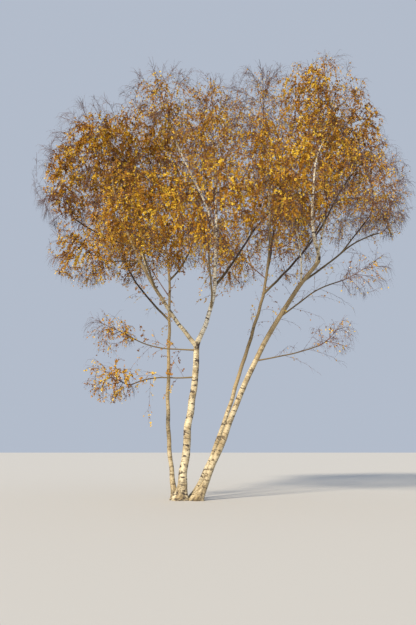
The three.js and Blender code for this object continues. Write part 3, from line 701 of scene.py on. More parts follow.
def addScars(limb, plain, radii, furrowScarAndForkShade, angle, run, dice, settings):
    high, wide = settings["scarShape"]
    usual = 1.0 if isStem(limb) else settings["boughScars"]
    for _ in range(int(limb["length"] * settings["scarsPerMetre"] * usual)):
        along, turn = dice.uniform(*settings["scarShares"]) * limb["length"], dice.uniform(0, 2 * np.pi)
        size = dice.uniform(*settings["scarSize"])
        aside = np.abs((angle - turn + np.pi) % (2 * np.pi) - np.pi) * plain
        near = np.exp(-((run - along) / (size * high)) ** 2 - (aside / (size * wide)) ** 2)
        radii = radii + plain * settings["scarSwell"] * near
        furrowScarAndForkShade = np.maximum(furrowScarAndForkShade, near * settings["scarShade"])
    return radii, furrowScarAndForkShade


def palenessOf(limb, plain, run, settings):
    thin, thick = settings["paleGirth"]
    paleness = np.clip((2 * plain - thin) / (thick - thin), 0.0, 1.0)
    if not limb["pale"]:             # brown boughs are paler at their root, and some are painted paler all along as painted sunlight
        rootPale = settings["rootPale"] * np.exp(-np.maximum(run, 0) / settings["rootPaleReach"])
        paleness = paleness * np.maximum(settings["sunlitTanBoughs"].get(limb["name"], 0.0), rootPale)
    elif not isStem(limb):
        # painted sunlight makes these leaders whiter than cream
        whiter = settings["sunlitWhiteBoughs"].get(limb["name"], 0.0)
        fade = np.clip((1 - run / limb["length"]) / settings["tipFade"], settings["tipPale"], 1)
        paleness = paleness * (1 + whiter * np.clip(run / settings["whiteFrom"], 0, 1)) * fade
    if limb["name"] in settings["paleAlong"]:
        paleness = paleness * np.interp(run, *settings["paleAlong"][limb["name"]])
    return paleness


def barkTube(limb, number, settings):
    dice = np.random.default_rng(seeds["bark"] + number)
    sides = settings["stemSides"] if isStem(limb) else settings["boughSides"]
    angle = (np.arange(sides) / sides * 2 * np.pi)[None, :]
    line, run = barkLine(limb, settings)
    tangents, normals, sideways = acrossLine(line)
    plain, radii = barkRadius(limb, run, settings)
    radii = radii * (1 + settings["knobs"] * waves(dice, angle, run, *settings["knobWaves"]))
    sway = settings["sway"] * plain * np.clip(run / settings["swayFrom"] - 1, 0, 1)
    line = line + sway * (normals * waves(dice, 0, run, *settings["swayWaves"])
                          + sideways * waves(dice, 0, run, *settings["swayWaves"]))
    furrowScarAndForkShade = np.zeros((len(run), sides))
    if isStem(limb):
        radii, furrowScarAndForkShade = rootFlare(radii, np.maximum(line[:, 2:], 0), angle, run, dice, settings)
    outward = np.cos(angle)[..., None] * normals[:, None] + np.sin(angle)[..., None] * sideways[:, None]
    surface = line[:, None] + radii[..., None] * outward
    radii, furrowScarAndForkShade = addCollars(limb, surface, radii, furrowScarAndForkShade, settings)
    radii, furrowScarAndForkShade = addScars(limb, plain, radii, furrowScarAndForkShade, angle, run, dice, settings)

    surface = line[:, None] + radii[..., None] * outward
    keep = np.ones(len(run), bool)
    if isStem(limb):
        # rings that the ground would cut are left out, and the first one slides along the stem to the ground
        lean = np.sqrt(np.maximum(1 - tangents[:, 2] ** 2, 0))
        keep = line[:, 2] - radii.max(1) * lean > settings["groundGap"]
        keep[0] = True
        surface[0] = surface[0] - (surface[0, :, 2] / tangents[0, 2])[:, None] * tangents[0]
    surface, run, plain = surface[keep], run[keep], plain[keep]
    mean = radii[keep].mean(1, keepdims=True)
    along = np.broadcast_to(run, (len(run), sides))
    place = np.stack([mean * np.cos(angle), mean * np.sin(angle), along], -1)
    paleness = np.broadcast_to(palenessOf(limb, plain, run, settings), along.shape)
    values = {"barkPlace": place, "paleness": paleness, "furrowScarAndForkShade": furrowScarAndForkShade[keep]}
    return closedRows(surface), closedTriangles(len(run), sides), values


def makeBark(settings, colours):
    pale, dark = paleBark(colours, markStrengths), darkBark(colours, markStrengths)
    total = 0
    for number, limb in enumerate(limbs.values()):
        points, triangles, values = barkTube(limb, number, settings)
        piece = meshPiece("bark_" + limb["name"], points, triangles, pale if limb["pale"] else dark, True)
        for name, rows in values.items():
            setNumbers(piece, name, closedRows(rows))
        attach(piece, "root")
        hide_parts(limb["name"])
        total += len(triangles)
    print("bark of", len(limbs), "limbs made,", total, "triangles")


makeBark(barkRelief, barkColours)

# The space of a mass is its egg, cut by the plane that parts it from each neighbour's egg. Its stem and
# branches grow in it by the frame's own rule.
massRule = {
    "sprayLength": 1.1,              # of the frame's blades in a full-sized egg
    "fullSizeHalf": 1.5,
    "past": 0.35,                    # how far a stem goes past the egg's middle, in its way there
    "rise": 0.25,                    # and how far above it, in half heights
    "pull": 0.1,                     # each step back where it would end outside
    "bend": 0.35,                    # the share of its length before its bend
    "stemTip": 0.030,
    "goldenAngle": 137.5,
    "rootLean": 78.0,                # branches lean by this at the stem's root
    "tipLean": 34.0,                 # and by this at its tip
    "droop": 0.2,
    "branchBend": 0.55,
    "spacing": 0.9,
    "bareFoot": 0.5,                 # metres of stem before the first branch
    "latestFirst": 0.3,              # but no more than this share of it
    "last": 0.97,
    "shortest": 0.25,
    "marks": 10,                     # steps along a branch where its room is tried
    "roomForTip": (0.45, 0.7),       # left free past a branch, in spray lengths
    "seedsPerMass": 40,
}


def reachOf(half, direction):
    return 1 / np.linalg.norm(direction / half)


def spaceOf(mass):
    centre, half = np.array(mass["centre"]), np.array(mass["half"])
    outward, limits = [], []
    for other in masses.values():
        if other is mass:
            continue
        across = np.array(other["centre"]) - centre
        distance = np.linalg.norm(across)
        own = reachOf(half, across / distance)
        theirs = reachOf(np.array(other["half"]), across / distance)
        if own + theirs < distance:
            continue
        outward.append(across / distance)
        limits.append(distance * own / (own + theirs) - limbRule["clearance"])
    size = min(1.0, half.mean() / massRule["fullSizeHalf"])
    return {"centre": centre, "half": half, "outward": np.array(outward).reshape(-1, 3),
            "limits": np.array(limits), "sprayLength": massRule["sprayLength"] * size}


def isInside(space, places):
    gap = np.atleast_2d(places) - space["centre"]
    inEgg = ((gap / space["half"]) ** 2).sum(-1) <= 1
    return inEgg & (gap @ space["outward"].T < space["limits"]).all(-1)


def roomAlong(space, places, directions):            # how far it is to the egg's surface or to a plane
    start = (places - space["centre"]) / space["half"]
    ahead = directions / space["half"]
    speed, closing = (ahead ** 2).sum(-1), (start * ahead).sum(-1)
    depth = (start ** 2).sum(-1) - 1
    room = (-closing + np.sqrt(np.maximum(closing * closing - speed * depth, 0))) / speed
    towards = directions @ space["outward"].T
    gap = space["limits"] - (places - space["centre"]) @ space["outward"].T
    toPlane = np.where(towards > 1e-6, gap / np.maximum(towards, 1e-6), np.inf)
    return np.maximum(np.minimum(room, toPlane.min(-1, initial=np.inf)), 0)


limbMarks = limbRule["marks"]
limbCentres = np.concatenate([pointAt(limb["line"], np.linspace(0, 1, limbMarks)) for limb in limbs.values()])
limbRadii = np.concatenate([np.linspace(*limb["girth"], limbMarks) / 2 for limb in limbs.values()])


def isClearOfLimbs(places):
    gap = np.linalg.norm(places[:, None] - limbCentres[None], axis=-1)
    return bool((gap > limbRadii + limbRule["margin"]).all())


def sidewaysTo(axis, turn):          # a direction across the axis, turned round it
    across = unit(np.cross(np.array([1.0, 0.0, 0.0]), axis))
    turn = np.asarray(turn)[..., None]
    return across * np.cos(turn) + np.cross(axis, across) * np.sin(turn)


def massStem(mass, space):
    limb = limbs[mass["from"]]["line"]
    root, tangent = pointAt(limb, mass["along"]), headingAt(limb, mass["along"])
    if carriesOn(mass):
        root = root - tangent * massRule["stemTip"]
    across = space["centre"] - root
    first = tangent if carriesOn(mass) else unit(across)
    end = space["centre"] + across * massRule["past"] + up * massRule["rise"] * space["half"][2]
    while not isInside(space, end)[0]:
        end = mix(end, space["centre"], massRule["pull"])
    bend = root + first * massRule["bend"] * np.linalg.norm(end - root)
    return np.array([root, bend, end])


def massBranches(mass, number, space, stemControl):
    line = evenLine(stemControl)
    count = round(sum(mass["half"]) / massRule["spacing"])
    firstShare = min(massRule["latestFirst"], massRule["bareFoot"] / lineLength(line))
    branches = []
    for i in range(count):
        random = numbersFrom(number * massRule["seedsPerMass"] + 1 + i)
        share = mix(firstShare, massRule["last"], i / (count - 1))
        base, axis = pointAt(line, share), headingAt(line, share)
        side = sidewaysTo(axis, math.radians(massRule["goldenAngle"] * (i + number)))
        lean = math.radians(mix(massRule["rootLean"], massRule["tipLean"], share))
        heading = unit(axis * math.cos(lean) + side * math.sin(lean))
        room = float(roomAlong(space, base, heading)) if isInside(space, base)[0] else 0.0
        reach = room - mix(*massRule["roomForTip"], next(random)) * space["sprayLength"]
        if reach < massRule["shortest"]:
            continue
        tip = base + heading * reach - up * massRule["droop"] * reach
        control = np.array([base, base + heading * massRule["branchBend"] * reach, tip])
        places = evenLine(control, massRule["marks"])
        if isInside(space, places).all() and isClearOfLimbs(places):
            branches.append(control)
    return branches


# The finer twigs: each order grows on the one before it, turned by the golden angle as the branches are.
# Spacing and lengths are in metres. A twig leans from its parent by the first angle at the parent's root and
# by the second at its tip. "room" is how much of the way to its space's edge a twig may take, "hang" the part
# of its length that hangs down, and "lift" and "outward" turn it up and out.
twigOrders = table("spacing, first, lean, length, room, hang, lift, outward, least", {
    "between": (0.15, 0.08, (80, 26), (0.5, 1.7), (0.55, 0.95), (0.0, 0.25), 0.10, 0.10, 0.25),
    "side": (0.34, 0.12, (64, 30), (0.35, 1.05), (0.50, 0.95), (0.05, 0.35), 0.16, 0.25, 0.15),
    "limbSide": (0.20, 0.10, (66, 34), (0.25, 0.75), (0.9, 1.0), (0.05, 0.35), 0.22, 0.0, 0.15),
    "whip": (0.165, 0.10, (58, 24), (0.30, 0.95), (0.7, 1.1), (0.35, 0.85), 0.10, 0.15, 0.21),
    "limbWhip": (0.16, 0.15, (58, 24), (0.15, 0.50), (0.7, 1.1), (0.20, 0.75), 0.15, 0.0, 0.08),
    "fringe": (0.055, 0.2, (60, 20), (0.45, 1.25), (1.0, 1.0), (0.35, 0.95), 0.35, 0.25, 0.25),
})
twigGrowth = {
    "unevenLean": 9.0,               # degrees
    "tipFrom": 0.995,                # from this share on, a twig goes on from its parent's tip
    "tipLean": 14.0,                 # and leans by less than this
    "bendAt": 0.6,                   # the share of its length before its bend
    "hangBend": 0.75,                # how much earlier a twig bends that hangs
    "drop": 0.85,                    # how far down the hanging share of it reaches
    "tries": 6,                      # a twig that ends outside is made shorter this often
    "shorter": 0.78,                 # by this factor
    "fewest": 2,                     # on one parent
    "marks": 8,                      # steps along a twig where its length and its room are measured
}
fillTwigs = {                        # side twigs that reach for the empty places of a mass
    "perCubicMetre": 7.5,
    "evenSteps": (0.8192, 0.6710, 0.5497),           # spread the places evenly, without gaps
    "rounds": 5,                     # later twigs grow on earlier ones
    "reach": 0.91,                   # of the egg
    "first": 0.12,
    "marks": 12,                     # places along a branch where such a twig may start
    "fromAbove": 0.6,                # how much a start above the place counts against it
    "length": (0.14, 1.5),
    "bendAt": 0.5,
    "lift": 0.25,
}
crownEdge = {
    "eggShare": 0.97,                # twigs end at this share of the eggs' reach
    "fringeShare": 1.14,             # and the bare whips at the edge end at this one
    "fringeFrom": 0.88,              # or within it, down to this one
    "mingle": 0.40,                  # how far side twigs and whips cross into a neighbour's space
    "loose": 1.20,                   # how much larger their egg is
    "hangShare": 0.85,               # how much of a drop below an egg's middle counts
    "notch": 2.1,                    # the less, the more the notches between eggs are filled
    "boxShare": 0.03,                # of each side of the frame's box
    "boxMargin": 0.09,               # kept free for the leaves at a twig's tip
    "unbounded": 9.0,                # a reach past the whole crown, for twigs that only the box stops
}
cadLow, cadHigh = np.array(cadBox[0]), np.array(cadBox[1])
boxRoom = crownEdge["boxShare"] * (cadHigh - cadLow) - crownEdge["boxMargin"]
boxLow, boxHigh = cadLow - boxRoom, cadHigh + boxRoom
eggCentres = np.array([mass["centre"] for mass in masses.values()])
eggHalves = np.array([mass["half"] for mass in masses.values()])


def crownReach(places):              # 1 at the edge of the eggs taken together, with their notches filled
    gap = (places[:, None] - eggCentres[None]) / eggHalves[None]
    gap[..., 2] = np.where(gap[..., 2] < 0, gap[..., 2] * crownEdge["hangShare"], gap[..., 2])
    near = np.exp(crownEdge["notch"] * (1 - (gap ** 2).sum(-1))).sum(-1)
    return np.sqrt(np.maximum(1 - np.log(near) / crownEdge["notch"], 0))


def looser(space):                   # a larger egg with its planes moved outward
    return dict(space, half=space["half"] * crownEdge["loose"], limits=space["limits"] + crownEdge["mingle"])


def endsInside(space, tips, share=crownEdge["eggShare"]):
    gap = tips - space["centre"]
    inEgg = ((gap / space["half"]) ** 2).sum(-1) <= max(share, 1.0) ** 2
    inPlanes = (gap @ space["outward"].T < space["limits"]).all(-1)
    return inEgg & inPlanes & (crownReach(tips) < share) & (tips > boxLow).all(-1) & (tips < boxHigh).all(-1)


def growOn(parents, space, dice, order, share=crownEdge["eggShare"]):
    counts = np.round(lengthsOf(parents) * (1 - order["first"]) / order["spacing"]).astype(int) + 1
    counts = np.maximum(twigGrowth["fewest"], counts)
    owners = np.repeat(np.arange(len(parents)), counts)
    if len(owners) == 0:
        return np.zeros((0, 3, 3)), owners
    place = np.arange(len(owners)) - np.repeat(np.cumsum(counts) - counts, counts)
    shares = mix(order["first"], 1.0, place / (counts[owners] - 1))
    turns = math.radians(massRule["goldenAngle"]) * place + dice.uniform(0, 2 * np.pi, len(parents))[owners]
    base, axis = curveAt(parents[owners], shares), curveHeading(parents[owners], shares)
    lean = np.radians(mix(*order["lean"], shares) + dice.normal(0, twigGrowth["unevenLean"], len(owners)))
    tipLean = np.radians(dice.uniform(0, twigGrowth["tipLean"], len(owners)))
    lean = np.where(shares > twigGrowth["tipFrom"], tipLean, lean)
    heading = axis * np.cos(lean)[:, None] + sidewaysTo(axis, turns) * np.sin(lean)[:, None]
    outward = unit((base - space["centre"]) / space["half"])
    heading = unit(heading + up * order["lift"] + outward * order["outward"])
    room = roomAlong(space, base, heading) * dice.uniform(*order["room"], len(owners))
    room = np.where(share > 1, np.inf, room)
    length = np.minimum(dice.uniform(*order["length"], len(owners)), room)[:, None]
    hang = dice.uniform(*order["hang"], (len(owners), 1))
    bendAt = twigGrowth["bendAt"]
    for _ in range(twigGrowth["tries"]):
        bend = base + heading * (1 - twigGrowth["hangBend"] * hang) * bendAt * length
        tips = bend + (heading * (1 - hang) * (1 - bendAt) - up * hang * twigGrowth["drop"]) * length
        fits = endsInside(space, tips, share)
        length = np.where(fits[:, None], length, length * twigGrowth["shorter"])
    good = (length[:, 0] > order["least"]) & fits
    return np.stack([base, bend, tips], 1)[good], owners[good]


def lengthsOf(controls):
    return np.array([lineLength(evenLine(control, twigGrowth["marks"])) for control in controls])


def clearOnly(controls):
    clear = [control for control in controls if isClearOfLimbs(evenLine(control, twigGrowth["marks"]))]
    return np.array(clear).reshape(-1, 3, 3)


def twigTubes(controls, girth, rings, sides):        # each twig has this number of rings and a pointed tip
    count = len(controls)
    shares = np.linspace(0, 1, rings + 1)
    centres = np.stack([curveAt(controls, np.full(count, share)) for share in shares], 1)
    chord = unit(controls[:, 2] - controls[:, 0])
    steep = np.abs(chord[:, 2:]) > 0.9
    helper = np.where(steep, [[1.0, 0.0, 0.0]], [[0.0, 0.0, 1.0]])
    across = unit(np.cross(chord, helper))
    other = np.cross(chord, across)
    angle = np.arange(sides) / sides * 2 * np.pi
    out = across[:, None] * np.cos(angle)[None, :, None] + other[:, None] * np.sin(angle)[None, :, None]
    radius = mix(*girth, shares[:-1])[None, :, None, None] / 2
    walls = centres[:, :-1, None] + radius * out[:, None]
    points = np.concatenate([walls.reshape(count, -1, 3), centres[:, -1:]], 1)
    ring = np.arange(sides)
    end = (rings - 1) * sides
    point = np.stack([end + ring, end + (ring + 1) % sides, np.full(sides, rings * sides)], -1)
    one = np.concatenate([ringTriangles(rings, sides), point])
    return points.reshape(-1, 3), repeated(one, count, rings * sides + 1)


def repeated(triangles, count, corners):             # the same triangles for each of so many twigs or leaves
    return (triangles[None] + (np.arange(count) * corners)[:, None, None]).reshape(-1, 3)


leafSettings = {
    "length": (0.044, 0.063),
    "width": 0.80,                   # of the length
    "widestAt": 0.40,
    "fold": 0.14,
    "perMetre": 34.4,                # along a fully leafy twig
    "first": 0.10,
    "stalk": (0.006, 0.018),
    "stalkTurn": (0.3, 0.4),         # how far it turns along the twig and down
    "sideways": 0.6,                 # how far leaves point away from the twig
    "hang": (0.2, 1.3),              # and how far they point down
    "uneven": 0.35,
    "fringe": (0.56, 0.86),          # between these shares of the crown's reach the leaves thin out
    "barer": (13.0, 15.6),           # and between these heights, to this share
    "topLeafy": 0.55,
    "patchy": 0.60,                  # how uneven the crown's leafiness is
    "patchSize": (0.9, 3.0),         # metres from one leafy place to the next
    "patchWaves": 14,
    "patchRange": (0.1, 2.2),
    "sprayLeafy": (0.5, 1.5),        # how unevenly leafy the sprays are
    "whipLeafy": (0.0, 2.0),         # and the whips in them
    "oneTint": 0.5,                  # the share of a spray's whips that take the spray's own tint
    "openReach": 0.11,               # how near the line of sight to a limb that shows leaves are left out
    "openMarks": 60,                 # places along such a limb
    "openFrom": (0.05, 0.03),        # leaves nearer to it, in front or on the side of the sun, stay
    "sunReach": 2.5,                 # how far from the limb leaves are left out on the side of the sun
    "parts": 80,                     # leaves are worked through in so many parts, to save memory
}
tints = table("share, colour", {
    "amber": (0.31, (0.47, 0.220, 0.017, 1.0)),
    "gold": (0.29, (0.61, 0.345, 0.022, 1.0)),
    "russet": (0.22, (0.235, 0.098, 0.017, 1.0)),
    "yellow": (0.18, (0.81, 0.550, 0.048, 1.0)),
})
# The limbs that the photo shows through the leaves: from where on, the share of leaves left out there, and
# the share of the limb at its tip over which leaves cover it again
shownLimbs = table("first, left, fade", {
    "left_bough": (0.0, 0.45, 0.2),
    "pale_leader": (0.0, 0.85, 0.15),
    "middle_leader": (0.0, 0.80, 0.15),
    "right_slim_stem": (0.5, 0.60, 0.1),
    "right_leader": (0.0, 0.80, 0.15),
    "upright_bough": (0.0, 0.80, 0.15),
    "long_right_bough": (0.0, 0.90, 0.15),
    "right_reaching_bough": (0.0, 0.85, 0.15),
    "dark_bough": (0.0, 0.90, 0.6),
})
# Twigs that grow straight from a limb, outside the masses: where they start along it, how leafy they are and
# how much longer than usual
limbTwigs = table("first, leafy, reach", {
    "left_bough": (0.30, 0.5, 1.3),
    "left_rising_bough": (0.15, 0.6, 1),
    "left_level_bough": (0.2, 0.5, 1.3),
    "left_reaching_bough": (0.15, 0.6, 1.3),
    "front_left_bough": (0.25, 0.6, 1.3),
    "middle_leader": (0.22, 0.8, 1.9),
    "pale_leader": (0.1, 0.6, 1),
    "inner_front_bough": (0.1, 0.6, 1),
    "front_middle_bough": (0.25, 0.5, 1.3),
    "dark_bough": (0.18, 0.5, 1.4),
    "dark_side_bough": (0.1, 0.6, 1),
    "low_left_upper_bough": (0.2, 0.5, 2.1),
    "low_left_lower_bough": (0.15, 0.9, 2.2),
    "left_stem": (0.55, 0.45, 1.3),
    "back_left_bough": (0.2, 0.5, 1.3),
    "back_middle_bough": (0.15, 0.7, 2.1),
    "right_slim_stem": (0.45, 0.3, 1.75),
    "long_right_bough": (0.15, 0.25, 1.7),
    "outer_back_bough": (0.1, 0.5, 2.0),
    "back_right_bough": (0.2, 0.5, 1),
    "right_stem": (0.62, 0.1, 1.3),
    "right_leader": (0.1, 0.35, 1.3),
    "right_front_bough": (0.2, 0.35, 1),
    "right_reaching_bough": (0.15, 0.08, 1.8),
    "right_outer_bough": (0.2, 0.15, 1.6),
    "upright_bough": (0.15, 0.35, 1.3),
    "low_right_bough": (0.2, 0.04, 2.1),
    "lowest_right_bough": (0.25, 0.03, 1.9),
})
crown = {"stem": [], "branch": [], "side": [], "whip": [], "fringe": [], "leafy": [], "edge": [], "tint": []}


def addWhips(parents, space, dice, leafy, edgeLeafy, order, share=crownEdge["eggShare"]):
    whips, owners = growOn(parents, space, dice, order, share)
    shares = np.array([tint["share"] for tint in tints.values()])
    sprayTint = dice.choice(len(tints), len(parents), p=shares)
    ownTint = dice.choice(len(tints), len(whips), p=shares)
    sprayLeafy = dice.uniform(*leafSettings["sprayLeafy"], len(parents))[owners]
    sprayLeafy = sprayLeafy * patchiness(whips[:, 2], leafSettings)
    crown["whip"].append(whips)
    crown["leafy"].append(leafy * sprayLeafy * dice.uniform(*leafSettings["whipLeafy"], len(whips)))
    crown["edge"].append(np.full(len(whips), edgeLeafy))
    takesOne = dice.random(len(whips)) < leafSettings["oneTint"]
    crown["tint"].append(np.where(takesOne, sprayTint[owners], ownTint))


def patchiness(places, settings):    # leafy and bare places, a metre or so across
    dice = np.random.default_rng(seeds["patches"])
    total = np.zeros(len(places))
    for _ in range(settings["patchWaves"]):
        wave = unit(dice.normal(0, 1, 3)) * 2 * np.pi / dice.uniform(*settings["patchSize"])
        total = total + np.sin(places @ wave + dice.uniform(0, 2 * np.pi))
    uneven = settings["patchy"] * total / math.sqrt(settings["patchWaves"])
    return np.clip(1 + uneven, *settings["patchRange"])


def addFringe(parents, space, dice, bare):   # long bare whips that arch out over the edge of the crown
    order = dict(twigOrders["fringe"], spacing=twigOrders["fringe"]["spacing"] / bare)
    whips, _ = growOn(parents, space, dice, order, crownEdge["fringeShare"])
    crown["fringe"].append(whips[crownReach(whips[:, 2]) > crownEdge["fringeFrom"]])


def growMass(number, mass):
    dice = np.random.default_rng(seeds["masses"] + number)
    space = spaceOf(mass)
    stem = massStem(mass, space)
    branches = np.array(massBranches(mass, number, space, stem)).reshape(-1, 3, 3)
    extra, _ = growOn(stem[None], space, dice, twigOrders["between"])
    branches = np.concatenate([branches, clearOnly(extra)])
    parents = np.concatenate([stem[None], branches])
    sides, _ = growOn(parents, looser(space), dice, twigOrders["side"])
    sides = np.concatenate([sides, fillSpace(parents, looser(space), dice, fillTwigs)])
    crown["stem"].append(stem[None])
    crown["branch"].append(branches)
    crown["side"].append(sides)
    parents = np.concatenate([sides, branches])
    whip = dict(twigOrders["whip"], spacing=twigOrders["whip"]["spacing"] / mass["dense"])
    addWhips(parents, looser(space), dice, mass["leafy"], mass["edge"], whip)
    addFringe(parents, space, dice, mass["bare"])


def fillSpace(branches, space, dice, settings):
    count = int(settings["perCubicMetre"] * 4 / 3 * np.pi * space["half"].prod())
    spread = (np.arange(count)[:, None] * settings["evenSteps"] + dice.random(3)) % 1
    turn, height = 2 * np.pi * spread[:, 0], 2 * spread[:, 1] - 1
    level = np.sqrt(1 - height ** 2)
    away = np.stack([level * np.cos(turn), level * np.sin(turn), height], 1)
    away = away * np.cbrt(spread[:, 2:]) * settings["reach"]
    targets = space["centre"] + away * space["half"]
    targets = targets[endsInside(space, targets)]
    marks = np.linspace(settings["first"], 1, settings["marks"])
    grown = branches
    for some in np.array_split(targets, settings["rounds"]):
        owners, shares = (row.ravel() for row in np.meshgrid(np.arange(len(grown)), marks))
        starts, headings = curveAt(grown[owners], shares), curveHeading(grown[owners], shares)
        gap = np.linalg.norm(some[:, None] - starts[None], axis=-1)
        above = np.maximum(starts[None, :, 2] - some[:, None, 2], 0)
        nearest = np.where(gap > settings["length"][0], gap + settings["fromAbove"] * above, np.inf).argmin(1)
        base, length = starts[nearest], gap[np.arange(len(some)), nearest]
        first = unit(headings[nearest] + unit(some - base) + up * settings["lift"])
        twigs = np.stack([base, base + first * (settings["bendAt"] * length)[:, None], some], 1)
        grown = np.concatenate([grown, twigs[length < settings["length"][1]]])
    return grown[len(branches):]


def limbPieces(limb, first):         # a limb as a few bent pieces, which twigs can grow from
    count = max(1, round(limb["length"] * (1 - first) / limbRule["pieceLength"]))
    ends = np.linspace(first, 1, count + 1)
    pieces = []
    for start, end in zip(ends[:-1], ends[1:]):
        root, middle, tip = pointAt(limb["line"], np.array([start, (start + end) / 2, end]))
        pieces.append([root, 2 * middle - (root + tip) / 2, tip])
    return np.array(pieces)


def growLimbTwigs(number, twigs):
    dice = np.random.default_rng(seeds["limbTwigs"] + number)
    pieces = limbPieces(limbs[twigs["name"]], twigs["first"])
    anywhere = crownEdge["unbounded"]
    space = {"centre": pieces[:, 1].mean(0), "half": np.full(3, anywhere),
             "outward": np.zeros((0, 3)), "limits": np.zeros(0)}
    order = dict(twigOrders["limbSide"])
    order["length"] = [length * twigs["reach"] for length in order["length"]]
    sides, _ = growOn(pieces, space, dice, order, anywhere)
    crown["side"].append(sides)
    addWhips(sides, space, dice, twigs["leafy"], edgeLeafy=1.0, order=twigOrders["limbWhip"], share=anywhere)


for number, mass in enumerate(masses.values()):
    growMass(number, mass)
for number, twigs in enumerate(limbTwigs.values()):
    growLimbTwigs(number, twigs)
crown = {kind: np.concatenate(rows) for kind, rows in crown.items()}
print("crown grown:", len(crown["branch"]), "branches,", len(crown["side"]), "side twigs,",
      len(crown["whip"]) + len(crown["fringe"]), "hanging twigs")

# Girths at the root and the tip in metres, rings along the twig and sides round it
twigShapes = table("kind, girth, rings, sides", {
    "stems": ("stem", (0.046, 0.010), 14, 8),
    "branches": ("branch", (0.021, 0.006), 7, 5),
    "side_twigs": ("side", (0.0110, 0.0045), 3, 3),
    "whips": ("whip", (0.0076, 0.0036), 2, 3),
    "fringe": ("fringe", (0.0082, 0.0038), 2, 3),
})
mostTriangles = 190000               # in one piece


def inPieces(name, rows, perRow):    # the rows in as many pieces as their triangles need, with their names
    parts = math.ceil(len(rows) * perRow / mostTriangles)
    for part, some in enumerate(np.array_split(rows, parts)):
        yield "crown_" + name + ("" if parts == 1 else "_" + str(part + 1)), some


def crownPiece(name, points, triangles, material, smooth):
    piece = meshPiece(name, points, triangles, material, smooth)
    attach(piece, "root")
    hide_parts(*masses)      # every mass, by its name
    return len(triangles)


def makeTwigs(shapes, colours):
    bark = twigBark(colours)
    total = 0
    for shape in shapes.values():
        rings, sides = shape["rings"], shape["sides"]
        for name, controls in inPieces(shape["name"], crown[shape["kind"]], (2 * rings - 1) * sides):
            points, triangles = twigTubes(controls, shape["girth"], rings, sides)
            total += crownPiece(name, points, triangles, bark, True)
    print("twigs made,", total, "triangles")


makeTwigs(twigShapes, barkColours)


def leafMaterial(tint):
    material, tree, shader = newMaterial(tint["name"] + "Leaf")
    shader.inputs["Specular IOR Level"].default_value = dullShine
    veins = noiseOf(tree, objectPlace(tree), patterns["veins"])
    finishShader(tree, shader, finishes["leaf"], tint["colour"], veins, veins, patterns["veins"]["between"])
    return material


def placeLeaves(settings):
    dice = np.random.default_rng(seeds["leaves"])
    whips = crown["whip"]
    length = np.linalg.norm(np.diff(whips, axis=1), axis=-1)
    counts = dice.poisson((length[:, 0] + length[:, 1]) * settings["perMetre"] * crown["leafy"])
    owner = np.repeat(np.arange(len(whips)), counts)
    share = dice.uniform(settings["first"], 1.0, len(owner))
    along = curveHeading(whips[owner], share)
    side = sidewaysTo(along, dice.uniform(0, 2 * np.pi, len(owner)))
    root = curveAt(whips[owner], share)
    forward, down = settings["stalkTurn"]
    stalk = dice.uniform(*settings["stalk"], (len(owner), 1))
    base = root + unit(along * forward + side - up * down) * stalk
    hang, uneven = dice.uniform(*settings["hang"], (len(owner), 1)), settings["uneven"]
    heading = unit(side * settings["sideways"] - up * hang + dice.normal(0, uneven, (len(owner), 3)))
    across = unit(np.cross(heading, unit(dice.normal(0, 1, (len(owner), 3)))))
    size = dice.uniform(*settings["length"], len(owner))
    kept = edgeShare(base, crown["edge"][owner], settings) * (1 - opening(base, settings))
    keep = dice.random(len(owner)) < kept
    return root[keep], base[keep], heading[keep], across[keep], size[keep], crown["tint"][owner][keep]


def edgeShare(places, atEdge, settings):     # the share of leaves left here, near the crown's edge and top
    reach = np.concatenate([crownReach(some) for some in np.array_split(places, settings["parts"])])
    edge = np.clip((reach - settings["fringe"][0]) / np.ptp(settings["fringe"]), 0, 1)
    high = np.clip((places[:, 2] - settings["barer"][0]) / np.ptp(settings["barer"]), 0, 1)
    return mix(1.0, atEdge, edge) * mix(1.0, settings["topLeafy"], high)


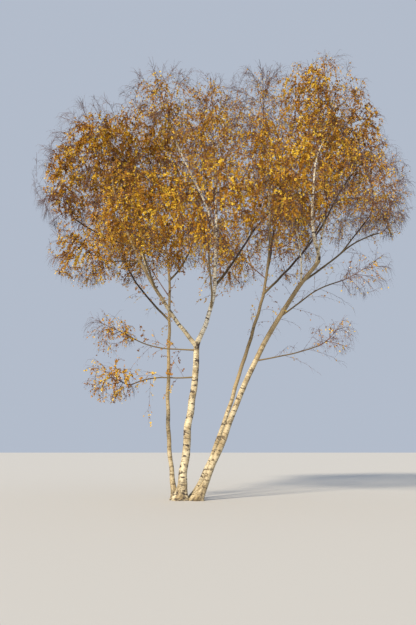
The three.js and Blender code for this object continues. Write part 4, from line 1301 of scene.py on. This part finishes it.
def opening(places, settings):
    # the share of leaves left out here, in front of a limb that shows or shading it from nearby
    shown, openness = [], []
    for limb in shownLimbs.values():
        marks = np.linspace(limb["first"], 1, settings["openMarks"])
        shown.append(pointAt(limbs[limb["name"]]["line"], marks))
        openness.append(limb["left"] * np.clip((1 - marks) / limb["fade"], 0, 1))
    shown, openness = np.concatenate(shown), np.concatenate(openness)
    eye = np.array(cameraSettings["place"])
    sight, distance = unit(shown - eye), np.linalg.norm(shown - eye, axis=-1)
    sun = directionOf(stageSettings["sunBearing"], stageSettings["sunRise"])
    nearEnough = settings["openReach"] ** 2
    leastFront, leastAbove = settings["openFrom"]
    left = np.zeros(len(places))
    for some in np.array_split(np.arange(len(places)), settings["parts"]):
        gap = places[some] - eye
        depth = gap @ sight.T
        off = (gap ** 2).sum(-1)[:, None] - depth ** 2
        inFront = (depth < distance - leastFront) & (off < nearEnough)
        apart = (places[some] ** 2).sum(-1)[:, None] + (shown ** 2).sum(-1) - 2 * places[some] @ shown.T
        above = (places[some] @ sun)[:, None] - shown @ sun
        shades = (above > leastAbove) & (above < settings["sunReach"]) & (apart - above ** 2 < nearEnough)
        left[some] = ((inFront | shades) * openness).max(-1)
    return left


leafFaces = np.array([(0, 2, 1), (0, 3, 2)])


def leafMesh(root, base, heading, across, size, settings):
    # a leaf of two faces, folded along its midrib: its root on the twig, one side, its tip and the other side
    length, width = size[:, None], size[:, None] * settings["width"] / 2
    fold = np.cross(heading, across) * length * settings["fold"]
    middle = base + heading * length * settings["widestAt"] + fold
    points = np.stack([root, middle + across * width, base + heading * length, middle - across * width], 1)
    return points.reshape(-1, 3), repeated(leafFaces, len(points), points.shape[1])


def makeLeaves(settings):
    *leaves, chosenTint = placeLeaves(settings)
    total = 0
    for number, tint in enumerate(tints.values()):
        material, slot = leafMaterial(tint), tint["name"] + "_leaves"
        for name, some in inPieces(slot, np.flatnonzero(chosenTint == number), len(leafFaces)):
            points, triangles = leafMesh(*(values[some] for values in leaves), settings)
            total += crownPiece(name, points, triangles, material, False)
    print("leaves made:", len(chosenTint), "leaves,", total, "triangles")


makeLeaves(leafSettings)

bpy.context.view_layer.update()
